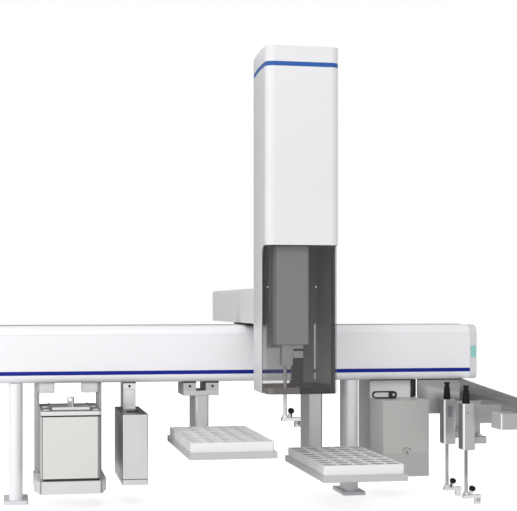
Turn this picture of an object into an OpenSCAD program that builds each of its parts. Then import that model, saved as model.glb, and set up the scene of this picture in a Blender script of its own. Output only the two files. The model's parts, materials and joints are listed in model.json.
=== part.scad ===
// Bench-top autosampler. A beam on two legs carries a travelling arm with a tall needle head.
// Sample trays, heated modules and parked tools hang from the beam.
// X runs along the beam, Y to the rear, Z up. The bench is at Z = 0.

/* [Beam] */
// Length of the beam with its end caps
beam_len = 850; // [820:1:920]
// Depth of the beam from front to rear
beam_depth = 112; // [106:1:124]
// Height of the beam's section
beam_h = 96.5; // [92:0.5:108]
// Height of the beam's underside above the bench
beam_lift = 200.6; // [199:0.2:210]
// Radius of the lower edges
beam_edge_r = 12; // [6:0.5:14]
// Radius of the rounded shoulder under the top
shoulder_r = 16; // [10:0.5:20]
// Wall of the extrusion
beam_wall = 5; // [3.5:0.5:7]
// Floor of the extrusion
beam_floor = 8; // [5:0.5:10]
// Wall of the top cover strips
lid_wall = 3; // [2:0.5:3.5]
// Width of the slot for the carriage neck
slot_w = 20; // [16:1:24]
// Width of each end cap
cap_w = 13; // [9:1:18]
// Height of the coloured stripe
stripe_h = 6.5; // [3:0.5:9]
// Lower edge of the stripe above the underside
stripe_rise = 13.3; // [12:0.1:22]
// Depth of the stripe's groove
stripe_t = 1; // [0.5:0.1:2]
// Width of the status light
light_w = 9; // [5:0.5:11]
// Height of the status light
light_h = 20; // [12:1:28]
// Lower edge of the status light above the underside
light_rise = 38.4; // [28:0.2:45]

/* [Drives] */
// Width of the guide rails
rail_w = 15; // [12:1:18]
// Height of the guide rails
rail_h = 12; // [9:1:13]
// Width and height of the motors
motor_w = 42; // [36:1:44]
// Length of the motors
motor_l = 50; // [40:1:56]
// Radius of the belt pulleys
pulley_r = 12; // [9:0.5:14]
// Width of the belt
belt_w = 10; // [6:1:11]
// Thickness of the belt
belt_t = 1.5; // [1:0.1:2]
// Diameter of the pulley shafts
shaft_d = 8; // [5:0.5:10]
// Diameter of the lead screws
screw_d = 10; // [8:0.5:12]
// Length of the carriage along the beam
carriage_len = 80; // [64:1:90]
// Width of the power unit
power_w = 150; // [100:5:170]
// Height of the power unit
power_h = 34; // [24:1:36]

/* [Legs] */
// Width of the oblong columns
leg_w = 22.5; // [18:0.5:26]
// Depth of the oblong columns
leg_depth = 60; // [50:1:62]
// Width of the foot plates
foot_w = 40.5; // [36:0.5:60]
// Depth of the foot plates
foot_depth = 81; // [80:1:90]
// Thickness of the foot plates
foot_t = 6; // [4:0.5:10]
// Corner radius of the foot plates
foot_r = 4; // [2:0.5:8]
// Place of the left leg along the beam
leg_left_x = -381.8; // [-390:0.2:-366]
// Place of the right leg along the beam
leg_right_x = 198.7; // [194:0.1:204]
// Centre of the legs behind the beam's front
leg_y = 34.5; // [32:0.5:42]
// Diameter of the screw holes in the feet
foot_hole_d = 5.5; // [4:0.1:6]

/* [Arm] */
// Place of the arm's middle along the beam
arm_x = 56.2; // [50:0.2:60]
// Width of the arm
arm_w = 105; // [98:1:106]
// Height of the arm
arm_h = 58.5; // [56:0.5:70]
// Gap between the beam and the arm
arm_gap = 3.9; // [2:0.1:5]
// Reach of the arm in front of the beam
arm_reach = 96; // [90:1:104]
// Reach of the arm behind the beam's front
arm_tail = 356; // [340:1:370]
// Wall of the arm's cover
arm_wall = 2.5; // [1.5:0.1:3.5]
// Edge radius of the arm's cover
arm_edge_r = 5; // [3.5:0.5:8]
// Thickness of the arm's inner plate
plate_t = 8; // [5:0.5:10]
// Thickness of the arm's bulkheads
bulkhead_t = 8; // [6:0.5:10]
// Length of the carriage block inside the arm
mast_len = 78; // [60:1:80]

/* [Head] */
// Width of the head
head_w = 117.6; // [117.6:0.2:124]
// Depth of the head
head_d = 132; // [128:1:136]
// Underside of the head above the bench
head_bottom = 193; // [190:0.2:197]
// Top of the head above the bench
head_top = 734; // [710:1:760]
// Radius of the front corners
head_front_r = 14; // [10:0.5:20]
// Radius of the rear corners
head_rear_r = 2; // [1:0.5:3]
// Radius of the slightly bulging sides
side_r = 980; // [980:10:1400]
// Wall of the head's shell and hood
head_wall = 2.5; // [2:0.1:3]
// Thickness of the spine plate
spine_t = 6; // [4:0.5:8]
// Height of the coloured band
band_h = 7; // [4:0.5:10]
// Upper edge of the band below the top
band_drop = 24.5; // [15:0.5:30]
// Depth of the band's groove
band_t = 0.8; // [0.4:0.1:1.2]
// Height of the hood
hood_h = 232; // [200:0.5:250]
// Depth of the hood from the front
hood_d = 41; // [34:0.5:48]
// Step from the shell's face in to the hood's
hood_step = 1.6; // [0.5:0.1:2]
// Radius of the hood's upper rear corner
hood_r = 22; // [14:0.5:28]
// Height of the rim at the bottom
rim_h = 10; // [8:0.5:14]
// Width of the rim
rim_w = 6; // [4:0.5:7]
// Room above the motor in the head
motor_room = 35.5; // [20:0.5:50]

/* [Tool carriage] */
// Width of the carriage's front plate
saddle_w = 53; // [51:0.5:55]
// Underside of the front plate above the head's underside
saddle_rise = 69; // [62:0.5:72]
// Height of the front plate
saddle_h = 248; // [240:1:256]
// Width of the grey cover
shroud_w = 51; // [50:0.5:53]
// Underside of the grey cover above the head's underside
shroud_rise = 77; // [70:0.5:80]
// Height of the grey cover
shroud_h = 154; // [140:1:160]
// Depth of the grey cover
shroud_d = 80; // [77:0.5:84]
// Wall of the grey cover
shroud_wall = 2; // [1.5:0.1:2.5]

/* [Tools] */
// Distance of the tool's axis behind the head's front
tool_inset = 28; // [27:0.5:32]
// Shift of the needle from the middle of the head
needle_shift = -3.4; // [-6:0.1:0]
// Distance from the guide rod to the needle
needle_offset = 19.4; // [18:0.1:21]
// Underside of the tool's holder above the head's underside
holder_rise = 11; // [9:0.5:13]
// Underside of the rod's stem above the head's underside
stem_rise = 44; // [42:0.5:46]
// Underside of the tool's block above the head's underside
block_rise = 64; // [62:0.5:66]
// Diameter of the guide rods
rod_d = 5.5; // [4:0.1:6.5]
// Length of the guide rod in use
rod_len = 87; // [80:1:92]
// Length of the parked guide rods
parked_rod_len = 78; // [70:1:80]
// Thickness of the guide plate
guide_t = 5; // [4:0.5:6]
// Depth of the guide plate
guide_d = 12; // [10:0.5:14]
// Length of the vial stop under the guide plate
stop_len = 10; // [7:0.5:11]
// Outer diameter of the vial stop
stop_d = 11; // [9:0.5:12]
// Diameter of the clamp knobs
knob_d = 9; // [7:0.5:9.5]
// Length of the clamp knobs
knob_l = 7; // [5:0.5:9]
// Distance from the rod to the knob
knob_offset = 8.5; // [8:0.1:9.5]
// Height of the knob's axis above the guide plate
knob_rise = 11; // [9.5:0.5:12]
// Diameter of the knob's stem
stem_d = 3; // [2:0.1:3.5]
// Outer diameter of the syringe barrel
barrel_d = 7; // [6:0.1:8]
// Bore of the syringe barrel
barrel_bore = 5; // [3.5:0.1:5.2]
// Length of the syringe barrel
barrel_len = 130; // [124:1:136]
// Diameter of the needle
needle_d = 0.9; // [0.6:0.1:1.2]
// Diameter of the plunger's button
button_d = 10; // [8:0.5:11]

/* [Parked tools] */
// Place of the parked tools along the beam
park_x = 332.7; // [331:0.5:336]
// Distance of the first parked tool in front of the beam
park_1 = 105; // [100:1:110]
// Distance of the second parked tool in front of the beam
park_2 = 198; // [192:1:204]
// Underside of the parked tools' bodies above the bench
park_lift = 98; // [96:1:100]
// Width of a parked tool's body
body_w = 22.5; // [20:0.5:24]
// How far the body's middle lies to the right of its rod
body_shift = 1.25; // [0:0.25:2]
// Depth of a parked tool's body
body_d = 22; // [18:0.5:24]
// Height of a parked tool's body
body_h = 75; // [70:1:75]
// Corner radius of a parked tool's body
body_r = 4; // [2:0.5:6]
// Radius of the two lower edges of a parked tool's body
body_foot_r = 4; // [2:0.5:6]
// Height of the black grip
grip_h = 28.8; // [24:0.2:30]
// Diameter of the grip at its foot
grip_d = 12.5; // [10:0.5:14]
// Diameter of the grip at the top of its cone
grip_top_d = 8.5; // [7:0.5:10]
// Diameter of the grip's neck
grip_neck_d = 6.5; // [5:0.5:7]
// Diameter of the grip's head
grip_head_d = 9.5; // [8:0.5:11]

/* [Trays and racks] */
// Length of a rack along the beam
rack_w = 128; // [126:0.5:132]
// Depth of a rack
rack_d = 86; // [84:0.5:87]
// Height of a rack
rack_h = 21.4; // [20:0.2:24]
// Gap between neighbouring racks
rack_gap = 1.5; // [1:0.1:2.5]
// Corner radius of a rack
rack_r = 3; // [1:0.5:5]
// Diameter of the vial holes
vial_d = 22.4; // [18:0.2:23]
// Depth of the vial holes
vial_depth = 18; // [12:0.5:18]
// Vial holes along the beam
vial_cols = 5; // [4:1:5]
// Vial holes from front to rear
vial_rows = 3; // [2:1:3]
// Pitch of the vial holes along the beam
vial_pitch_x = 25; // [24:0.1:25.4]
// Pitch of the vial holes from front to rear
vial_pitch_y = 27; // [26:0.1:28]
// Height of the left tray above the bench
tray_left_z = 101; // [95:1:105]
// Height of the right tray above the bench
tray_right_z = 62; // [55:1:65]
// Place of the left tray along the beam
tray_left_x = -62; // [-66:1:-58]
// Place of the right tray along the beam
tray_right_x = 142.5; // [140:0.5:145]
// Height of a tray's rim
tray_h = 10; // [8:0.5:13]
// Floor of a tray
tray_floor = 3; // [2:0.5:4]
// Width of the rim along the sides
tray_side = 2; // [1.5:0.1:3]
// Width of the rim at front and rear
tray_end = 9; // [6:0.5:10]
// Width of a hanger post
post_w = 24; // [20:1:28]
// Depth of a hanger post
post_d = 74; // [60:1:75]
// Shift of a hanger post from the middle of its clamp blocks
post_offset = 1.5; // [0:0.1:4]
// Corner radius of a hanger post
post_r = 4; // [3:0.5:6]
// Wall of a hanger post
post_wall = 2.5; // [2:0.1:3.5]
// Width over the hanger's two clamp blocks
clamp_w = 61; // [56:1:66]
// Width of one clamp block
clamp_block_w = 22; // [18:1:24]
// Height of the clamp blocks
clamp_h = 24; // [20:1:28]
// Height of the crossbar under the clamp blocks
crossbar_h = 8; // [6:0.5:10]
// Depth of the clamp blocks
clamp_d = 76; // [60:1:84]
// Shift of the left hanger post from the middle of its tray
post_left_shift = -7.5; // [-12:0.5:0]
// Shift of the right hanger post from the middle of its tray
post_right_shift = -11; // [-14:0.5:0]

/* [Agitator] */
// Place of the agitator along the beam
agitator_x = -295; // [-300:1:-290]
// Width of the agitator
agitator_w = 96; // [92:1:104]
// Width of the agitator's base at the front
agitator_base_w = 101; // [98:1:106]
// Width over the base's flared sides
agitator_flare_w = 116; // [114:1:122]
// Distance from the base's front to its full width
agitator_flare_run = 40; // [30:1:50]
// Reach of the agitator in front of the beam
agitator_reach = 105; // [100:1:108]
// Depth of the agitator
agitator_d = 165; // [150:1:175]
// Underside of the agitator above the bench
agitator_lift = 30; // [25:1:35]
// Height of the agitator's base
agitator_base_h = 20; // [16:1:24]
// Height of the shadow gap over the base
agitator_gap = 4.5; // [3:0.5:6]
// Height of the agitator's housing
agitator_h = 98.5; // [92:0.5:102]
// Thickness of the agitator's top plate
agitator_top_t = 7; // [5:0.5:8]
// Height of the shadow gap under the top plate
agitator_slit = 2.5; // [2:0.5:4]
// Wall of the agitator's housing
agitator_wall = 3; // [2:0.5:4]
// Corner radius of the agitator's housing
agitator_r = 6; // [4:0.5:9]
// Thickness of the side plates
side_t = 8; // [5:0.5:10]
// Depth of the side plates
side_d = 26; // [18:1:40]
// Diameter of the turning block
block_d = 80; // [76:1:84]
// Height of the turning block
block_h = 66; // [55:1:68]
// Diameter of the circle of wells
block_pcd = 50; // [48:1:52]
// Number of wells
block_wells = 6; // [4:1:6]
// Width of the shutter
shutter_w = 60; // [56:1:66]
// Length of the shutter
shutter_l = 60; // [56:1:66]
// Thickness of the shutter
shutter_t = 5; // [3:0.5:6]
// Diameter of the shutter's pin
pin_d = 11; // [8:0.5:12]
// Height of the shutter's pin
pin_h = 16; // [12:0.5:18]
// Travel that the shutter has rails for
shutter_travel = 55; // [40:1:58]
// Diameter of the turning block's spindle
spindle_d = 12; // [10:1:14]
// Width of the clamp blocks under the beam
agitator_clamp_w = 25; // [20:1:30]
// Height of the clamp blocks under the beam
agitator_clamp_h = 16.5; // [14:0.5:22]

/* [Heater] */
// Place of the heater along the beam
heater_x = -191.7; // [-195:0.1:-188]
// Width of the heater
heater_w = 41.5; // [38:0.5:46]
// Reach of the heater in front of the beam
heater_reach = 95; // [88:1:102]
// Depth of the heater
heater_d = 170; // [150:1:175]
// Underside of the heater above the bench
heater_lift = 40.5; // [36:0.5:46]
// Height of the heater
heater_h = 114; // [105:1:118]
// Wall of the heater's housing
heater_wall = 3; // [2:0.5:4]
// Corner radius of the heater's housing
heater_r = 2.5; // [1:0.5:5]
// Diameter of the heated well
well_d = 16; // [10:0.5:18]
// Depth of the heated well
well_depth = 60; // [40:1:70]
// Distance of the well in front of the beam
well_y = 40; // [30:1:50]
// Width of the heater's bracket
heater_post_w = 21; // [18:1:26]
// Depth of the heater's bracket
heater_post_d = 60; // [40:1:60]

/* [Conditioner] */
// Place of the conditioner along the beam
conditioner_x = 275.6; // [272:0.2:278]
// Width of the conditioner
conditioner_w = 82; // [78:1:84]
// Reach of the conditioner in front of the beam
conditioner_reach = 60; // [54:1:66]
// Depth of the front box
conditioner_d = 85; // [78:1:88]
// Underside of the conditioner above the bench
conditioner_lift = 38; // [32:1:44]
// Height of the front box
conditioner_h = 130; // [122:1:132]
// Depth of the bracket behind the box
conditioner_back_d = 76; // [60:1:78]
// Wall of the conditioner
conditioner_wall = 3; // [2:0.5:4]
// Corner radius of the conditioner
conditioner_r = 3; // [1:0.5:5]
// Length of the lever from its pivot
lever_len = 31.5; // [28:0.5:36]
// Height of the lever's loop
lever_h = 13; // [10:0.5:14]
// Thickness of the lever
lever_t = 5; // [3:0.5:6]
// Diameter of the lever's pivot
pivot_d = 5; // [4:0.1:6]
// Diameter of the flow adjuster
adjuster_d = 6; // [5:0.5:8]
// Height of the flow adjuster above the underside
adjuster_rise = 42; // [38:1:48]

/* [Park station] */
// Sheet thickness of the park arm
sheet_t = 4; // [3:0.5:5]
// Reach of the park arm in front of the beam
park_reach = 275; // [268:1:278]
// Height of the park arm's rear plate
park_back_h = 62; // [54:1:66]
// Width of the park arm's rear plate
park_back_w = 82.2; // [78:0.2:84]
// Height of the park arm's front end
park_front_h = 22; // [18:0.5:26]
// Fall of the park arm's upper edge towards the front
park_fall = 17; // [14:0.5:20]
// Distance from the parked tools to the park arm's side plate
park_side_gap = 52.2; // [48:0.2:56]
// Height of the clip plates
clip_h = 30; // [24:1:32]
// Width of the clip bars
clip_bar_w = 14; // [10:1:16]
// Width of the clip feet
clip_foot_w = 20; // [16:1:22]
// Height of the clip feet
clip_foot_h = 11; // [8:1:12]
// Width of the wash block
wash_w = 60; // [54:1:62]
// Depth of the wash block
wash_d = 45; // [40:1:50]
// Height of the wash block
wash_h = 25; // [22:1:28]
// Diameter of the wash wells
wash_well_d = 14; // [10:0.5:14]

/* [Fits] */
// Running gap of sliding faces
run_gap = 0.25; // [0.15:0.05:0.4]
// Radial clearance of shafts and rods in their bores
shaft_fit = 0.05; // [0.03:0.01:0.08]
// Gap between curved faces that only lie near each other
free_gap = 0.3; // [0.3:0.05:0.5]

/* [Hidden] */
$fn = 48;

over = 1; // how far a cutting shape runs past the face it cuts

// Beam
beam_top = beam_lift + beam_h;
seam_h = beam_h - shoulder_r;
floor_z = beam_lift + beam_floor;
inner_half = beam_len / 2 - cap_w;
slot_y = beam_depth / 2;
rail_end = 10; // rails stop this far short of the beam's end caps
rail_top = floor_z + rail_h;

// Legs, with the screw holes halfway between a column's ends and its foot's edges
foot_hole_gap = (leg_depth + foot_depth) / 2;

// Belt drive in the rear half of the beam
belt_y = beam_depth - beam_wall - belt_w - 8;
belt_rise = 40;
belt_z = floor_z + belt_rise;
belt_x = inner_half - motor_w / 2 - 6;
motor_y = belt_y - belt_w / 2 - motor_l - 4;
bracket_t = 6;
shaft_bite = 20;
power_inset = 40;

// Carriage
runner_wall = 14;
runner_top = rail_top + 10;
deck_lift = 0.5;
deck_z = beam_top + deck_lift;
arm_bottom = beam_top + arm_gap;
deck_t = arm_gap - deck_lift - 0.4;
deck_rear = beam_depth + 16;
neck_t = slot_w - 4;

// Arm
arm_front = -arm_reach;
arm_top = arm_bottom + arm_h;
plate_z = arm_top - arm_wall - plate_t;
y_rail_x = arm_x - 15;
y_rail_z = plate_z - rail_h;
screw_shift = 25;
screw_x = arm_x + screw_shift;
screw_z = plate_z - motor_w / 2;
plate_rear = arm_tail - 12;
bulkhead_y = plate_rear - motor_l - bulkhead_t;
mast_inset = 46;
mast_y = slot_y - mast_inset;
mast_margin = 30;
mast_w = arm_w - mast_margin;
mast_floor_z = screw_z - screw_d / 2 - 4;

// Head
head_front = arm_front - head_d;
spine_y = arm_front - spine_t;
bulge_inset = 31;
bulge_y = head_front + bulge_inset;
bulge_run = arm_front - bulge_y;
rear_half = head_w / 2 - side_r + sqrt(side_r * side_r - bulge_run * bulge_run);
band_z = head_top - band_drop - band_h;
needle_x = arm_x + needle_shift;
z_screw_shift = 30;
z_screw_x = needle_x + z_screw_shift;
z_screw_y = spine_y - motor_w / 2 - 4;
shelf_t = 6;
shelf_z = head_top - head_wall - motor_room - motor_l - shelf_t;
lug_z = arm_bottom + 3;
lug_t = 8;
z_rail_bottom = arm_bottom + 2;
z_rail_top = shelf_z - 20;

// Tool carriage
runner_front = spine_y - rail_h - 10;
saddle_t = 10;
saddle_front = runner_front - saddle_t;
saddle_left = needle_x - saddle_w + 18;
saddle_z = head_bottom + saddle_rise;
shroud_left = saddle_left;
shroud_z = head_bottom + shroud_rise;
z_runner_h = 70;
z_runner_z = saddle_z + saddle_h - z_runner_h;

// Tool in use
tool_y = head_front + tool_inset;
rod_x = needle_x - needle_offset;
holder_w = barrel_d + 9.3;
holder_z = head_bottom + holder_rise;
stem_z = head_bottom + stem_rise;
block_z = head_bottom + block_rise;
tool_block_h = 43;
tool_t = 20;
guide_z = stem_z - rod_len;
guide_end = 6;
barrel_z = holder_z - 4;
hub_h = 6;

// Parked tools
park_ys = [-park_1, -park_2];
grip_z = park_lift + body_h;
parked_guide_z = park_lift - parked_rod_len;
lug_len = 13;
lug_h = 4;
plunger_depth = 46;
grip_stem_d = 6;

// Trays and racks
tray_w = rack_w + 2 * (tray_side + rack_gap / 2);
tray_d = 3 * rack_d + 4 * rack_gap + 2 * tray_end;
tray_xs = [tray_left_x, tray_right_x];
tray_zs = [tray_left_z, tray_right_z];
post_shifts = [post_left_shift, post_right_shift];
clamp_y = beam_edge_r - 4;
post_step = 1;
post_y = clamp_y + post_step;

// Agitator
agitator_front = -agitator_reach;
agitator_floor_z = agitator_lift + agitator_base_h + agitator_gap;
agitator_top_z = agitator_floor_z + agitator_h + agitator_slit;
agitator_lid_z = agitator_top_z + agitator_top_t;
block_inset = 60;
block_y = agitator_front + block_inset;
block_bottom = agitator_floor_z + agitator_wall + run_gap;
window_w = shutter_w - 10;
window_l = shutter_l - 10;
shutter_y = agitator_front + 10;
side_y = beam_edge_r + 4;
flare = 5;
plinth_inset = 4;
shutter_rail_w = 4;

// Heater and conditioner
heater_top = heater_lift + heater_h;
heater_post_y = beam_edge_r + 2;
panel_inset = 2.5;
collar_h = 2;
heater_foot_h = 8.5;
groove_h = 1;
groove_depth = 0.6;
conditioner_front = -conditioner_reach;
conditioner_rear = conditioner_front + conditioner_d;
conditioner_top = conditioner_lift + conditioner_h;
lever_x = conditioner_x - 9;
lever_y = -14;
lever_gap = 0.6;
lever_z = conditioner_top + lever_h / 2 + lever_gap;
lever_ear_t = 6;
lever_rim = 2.5;
dial_t = 3;
adjuster_shift = 0.8;
adjuster_x = conditioner_x + adjuster_shift;

// Park station
body_left = park_x + body_shift - body_w / 2;
body_right = body_left + body_w;
park_side_x = body_right + park_side_gap;
park_back_y = beam_edge_r + 2;
park_back_x = park_side_x + sheet_t - park_back_w;
clip_drop = 34;
clip_z = grip_z - clip_drop;
clip_y = body_d / 2 + run_gap;
clip_bar_x = body_right + 2;
clip_foot_z = park_lift + 10;
park_front_z = beam_lift - park_fall - park_front_h;
park_break_y = 5;
clip_foot_reach = 6;
wash_shift = 4.9;
wash_x = park_side_x - wash_shift;
well_wall = 2;
wash_well_xs = [for (k = [1, 0]) park_side_x - (k + 0.5) * wash_well_d - (k + 1) * well_wall];

// The origin is the middle of the whole object's plan
origin_y = (arm_tail - tray_d) / 2;

// Puts a piece in the object's frame
module place() {
    translate([0, -origin_y, 0])
        children();
}

// A box from its lowest corner
module block(x, y, z, w, d, h) {
    translate([x, y, z])
        cube([w, d, h]);
}

// An upright rod from its foot
module rod(x, y, z, d, h) {
    translate([x, y, z])
        cylinder(h = h, d = d);
}

// A rod that runs to the rear from its front end
module rod_back(x, y, z, d, h) {
    translate([x, y, z])
        rotate([-90, 0, 0])
            cylinder(h = h, d = d);
}

// A rectangle with one radius at its two lower corners and another at its two upper ones
module soft_rect(w, h, low_r, high_r) {
    translate([0, low_r])
        square([w, h - low_r - high_r]);
    translate([low_r, 0])
        square([w - 2 * low_r, low_r + over]);
    translate([high_r, h - high_r - over])
        square([w - 2 * high_r, high_r + over]);
    for (x = [low_r, w - low_r])
        translate([x, low_r])
            circle(r = low_r);
    for (x = [high_r, w - high_r])
        translate([x, h - high_r])
            circle(r = high_r);
}

// An upright box with rounded vertical edges, from its lowest corner
module soft_block(x, y, z, w, d, h, r) {
    translate([x, y, z])
        linear_extrude(h)
            soft_rect(w, d, r, r);
}

// Runs a section drawn in Y and Z along X, from x
module along_x(x, len) {
    translate([x, 0, 0])
        rotate([90, 0, 90])
            linear_extrude(len)
                children();
}

// Runs a section drawn in X and Z to the rear, from y
module along_y(y, len) {
    translate([0, y + len, 0])
        rotate([90, 0, 0])
            linear_extrude(len)
                children();
}

// Draws a piece that stands to the right of x, or its mirror image to the left
module mirror_at(x, side) {
    translate([x, 0, 0])
        mirror([side < 0 ? 1 : 0, 0, 0])
            children();
}

// The beam's outline in Y and Z, drawn in by inset
module beam_outline(inset) {
    translate([inset, beam_lift + inset])
        soft_rect(beam_depth - 2 * inset, beam_h - 2 * inset, beam_edge_r - inset, shoulder_r - inset);
}

// The head's plan outline with its bulging sides, drawn in by inset
module head_outline(inset) {
    intersection() {
        translate([arm_x - head_w / 2 + inset, head_front + inset])
            soft_rect(head_w - 2 * inset, head_d - 2 * inset, head_front_r - inset,
                max(head_rear_r - inset, 0.5));
        translate([arm_x - head_w / 2 + side_r, bulge_y])
            circle(r = side_r - inset, $fn = 360);
        translate([arm_x + head_w / 2 - side_r, bulge_y])
            circle(r = side_r - inset, $fn = 360);
    }
}

module beam_extrusion() {
    color("whitesmoke") place()
        difference() {
            along_x(-inner_half, 2 * inner_half)
                difference() {
                    intersection() {
                        beam_outline(0);
                        translate([0, beam_lift])
                            square([beam_depth, seam_h]);
                    }
                    translate([beam_wall, floor_z])
                        square([beam_depth - 2 * beam_wall, beam_h]);
                }
            block(-beam_len, -over, beam_lift + stripe_rise, 2 * beam_len, stripe_t + over, stripe_h);
        }
}

module beam_top_cover() {
    color("white") place()
        along_x(-inner_half, 2 * inner_half)
            difference() {
                beam_outline(0);
                beam_outline(lid_wall);
                translate([0, beam_lift])
                    square([beam_depth, seam_h]);
                translate([slot_y - slot_w / 2, beam_lift])
                    square([slot_w, beam_h + over]);
            }
}

module beam_stripe() {
    color("mediumblue") place()
        block(-inner_half, 0, beam_lift + stripe_rise, 2 * inner_half, stripe_t, stripe_h);
}

module end_caps() {
    color("gainsboro") place()
        difference() {
            for (side = [-1, 1])
                along_x(side > 0 ? inner_half : -beam_len / 2, cap_w)
                    beam_outline(0);
            block(inner_half + (cap_w - light_w) / 2, -over, beam_lift + light_rise,
                light_w, stripe_t + over, light_h);
        }
}

module status_light() {
    color("mediumaquamarine") place()
        block(inner_half + (cap_w - light_w) / 2, 0, beam_lift + light_rise, light_w, stripe_t, light_h);
}

module x_guide_rail() {
    color("silver") place()
        block(rail_end - inner_half, slot_y - rail_w / 2, floor_z, 2 * (inner_half - rail_end),
            rail_w, rail_h);
}

// The loop that a belt makes, drawn out from the pulleys by grow
module belt_loop(grow) {
    radius = pulley_r + free_gap + grow;
    translate([-belt_x, belt_z - radius])
        square([2 * belt_x, 2 * radius]);
    for (x = [-belt_x, belt_x])
        translate([x, belt_z])
            circle(r = radius);
}

module x_belt() {
    color("dimgray") place()
        along_y(belt_y - belt_w / 2, belt_w)
            difference() {
                belt_loop(belt_t);
                belt_loop(0);
            }
}

module x_motor() {
    color("dimgray") place()
        difference() {
            union() {
                soft_square_y(belt_x, motor_y, belt_z, motor_w, motor_l);
                for (x = [-belt_x, belt_x])
                    block(x - motor_w / 2, motor_y + motor_l - bracket_t, floor_z,
                        motor_w, bracket_t, belt_z + shaft_d - floor_z);
            }
            for (x = [-belt_x, belt_x])
                rod_back(x, motor_y + over, belt_z, shaft_d + 2 * shaft_fit, motor_l);
        }
}

// A square motor body with bevelled edges that lies along Y
module soft_square_y(x, y, z, w, len) {
    along_y(y, len)
        translate([x - w / 2, z - w / 2])
            soft_rect(w, w, w / 10, w / 10);
}

// A belt pulley with flanges on a shaft that reaches forward
module pulley(x, shaft_front) {
    rod_back(x, belt_y - belt_w / 2, belt_z, 2 * pulley_r, belt_w);
    for (y = [belt_y - belt_w / 2 - 2 - free_gap, belt_y + belt_w / 2 + free_gap])
        rod_back(x, y, belt_z, 2 * pulley_r + 3, 2);
    rod_back(x, shaft_front, belt_z, shaft_d, belt_y + belt_w / 2 + free_gap - shaft_front);
}

module x_drive_pulley() {
    color("silver") place()
        pulley(belt_x, motor_y + motor_l - shaft_bite);
}

module x_idler_pulley() {
    color("silver") place()
        pulley(-belt_x, motor_y + motor_l - bracket_t);
}

module power_unit() {
    color("darkgray") place()
        block(power_inset - belt_x, beam_wall, floor_z, power_w, slot_y - rail_w - 12 - beam_wall, power_h);
}

module legs() {
    color("silver") place()
        for (x = [leg_left_x, leg_right_x])
            soft_block(x - leg_w / 2, leg_y - leg_depth / 2, foot_t, leg_w, leg_depth, beam_lift - foot_t,
                leg_w / 2 - 0.1);
}

module foot_plates() {
    color("silver") place()
        for (x = [leg_left_x, leg_right_x])
            difference() {
                soft_block(x - foot_w / 2, leg_y - foot_depth / 2, 0, foot_w, foot_depth, foot_t, foot_r);
                for (side = [-1, 1])
                    rod(x, leg_y + side * foot_hole_gap / 2, -over, foot_hole_d, foot_t + 2 * over);
            }
}

module agitator_bracket() {
    color("silver") place()
        for (side = [-1, 1])
            mirror_at(agitator_x, side) {
                block(agitator_w / 2, side_y, agitator_lift + agitator_base_h,
                    side_t, side_d, beam_lift - agitator_lift - agitator_base_h);
                soft_block(agitator_w / 2 - agitator_clamp_w, side_y - 4, beam_lift - agitator_clamp_h,
                    agitator_clamp_w + side_t / 2, side_d, agitator_clamp_h, 2);
            }
}

module agitator_base() {
    color("silver") place()
        difference() {
            union() {
                soft_block(agitator_x - agitator_base_w / 2, agitator_front, agitator_lift,
                    agitator_base_w, agitator_d, agitator_base_h, agitator_r);
                for (side = [-1, 1])
                    mirror_at(agitator_x, side)
                        translate([0, 0, agitator_lift])
                            linear_extrude(agitator_base_h)
                                polygon([
                                    [agitator_base_w / 2, agitator_front + agitator_r],
                                    [agitator_flare_w / 2, agitator_front + agitator_flare_run],
                                    [agitator_flare_w / 2, side_y + side_d + flare],
                                    [0, side_y + side_d + flare], [0, agitator_front + agitator_r]
                                ]);
                soft_block(agitator_x - agitator_w / 2 + plinth_inset, agitator_front + plinth_inset,
                    agitator_lift, agitator_w - 2 * plinth_inset, agitator_d - 2 * plinth_inset,
                    agitator_base_h + agitator_gap, agitator_r - plinth_inset / 2);
            }
            block(agitator_x - agitator_w / 2 + 2 * plinth_inset, agitator_front + 2 * plinth_inset,
                agitator_lift - over, agitator_w - 4 * plinth_inset, agitator_d - 4 * plinth_inset,
                agitator_base_h - plinth_inset + over);
            rod(agitator_x, block_y, agitator_lift, spindle_d + 4, agitator_base_h + agitator_gap + over);
        }
}

module agitator_housing() {
    color("gainsboro") place()
        difference() {
            soft_block(agitator_x - agitator_w / 2, agitator_front, agitator_floor_z,
                agitator_w, agitator_d, agitator_h, agitator_r);
            soft_block(agitator_x - agitator_w / 2 + agitator_wall, agitator_front + agitator_wall,
                agitator_floor_z + agitator_wall, agitator_w - 2 * agitator_wall,
                agitator_d - 2 * agitator_wall, agitator_h, agitator_r - agitator_wall / 2);
            rod(agitator_x, block_y, agitator_floor_z - over, spindle_d + 2 * shaft_fit,
                agitator_wall + 2 * over);
        }
}

module agitator_top_plate() {
    slit_inset = agitator_wall / 2;
    color("silver") place() {
        difference() {
            union() {
                soft_block(agitator_x - agitator_w / 2 + slit_inset, agitator_front + slit_inset,
                    agitator_top_z - agitator_slit, agitator_w - 2 * slit_inset,
                    agitator_d - 2 * slit_inset, agitator_slit + over, agitator_r - slit_inset);
                soft_block(agitator_x - agitator_w / 2, agitator_front, agitator_top_z,
                    agitator_w, agitator_d, agitator_top_t, agitator_r);
            }
            block(agitator_x - window_w / 2, shutter_y + (shutter_l - window_l) / 2,
                agitator_top_z - agitator_slit - over, window_w, window_l,
                agitator_top_t + agitator_slit + 2 * over);
        }
        for (side = [-1, 1])
            mirror_at(agitator_x, side)
                block(shutter_w / 2 + run_gap, shutter_y, agitator_lid_z,
                    shutter_rail_w, shutter_l + shutter_travel, shutter_t - 1);
    }
}

module agitator_shutter() {
    color("lightgray") place() {
        block(agitator_x - shutter_w / 2, shutter_y, agitator_lid_z + run_gap, shutter_w,
            shutter_l, shutter_t);
        rod(agitator_x, shutter_y + pin_d, agitator_lid_z + run_gap, pin_d, shutter_t + pin_h);
    }
}

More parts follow.
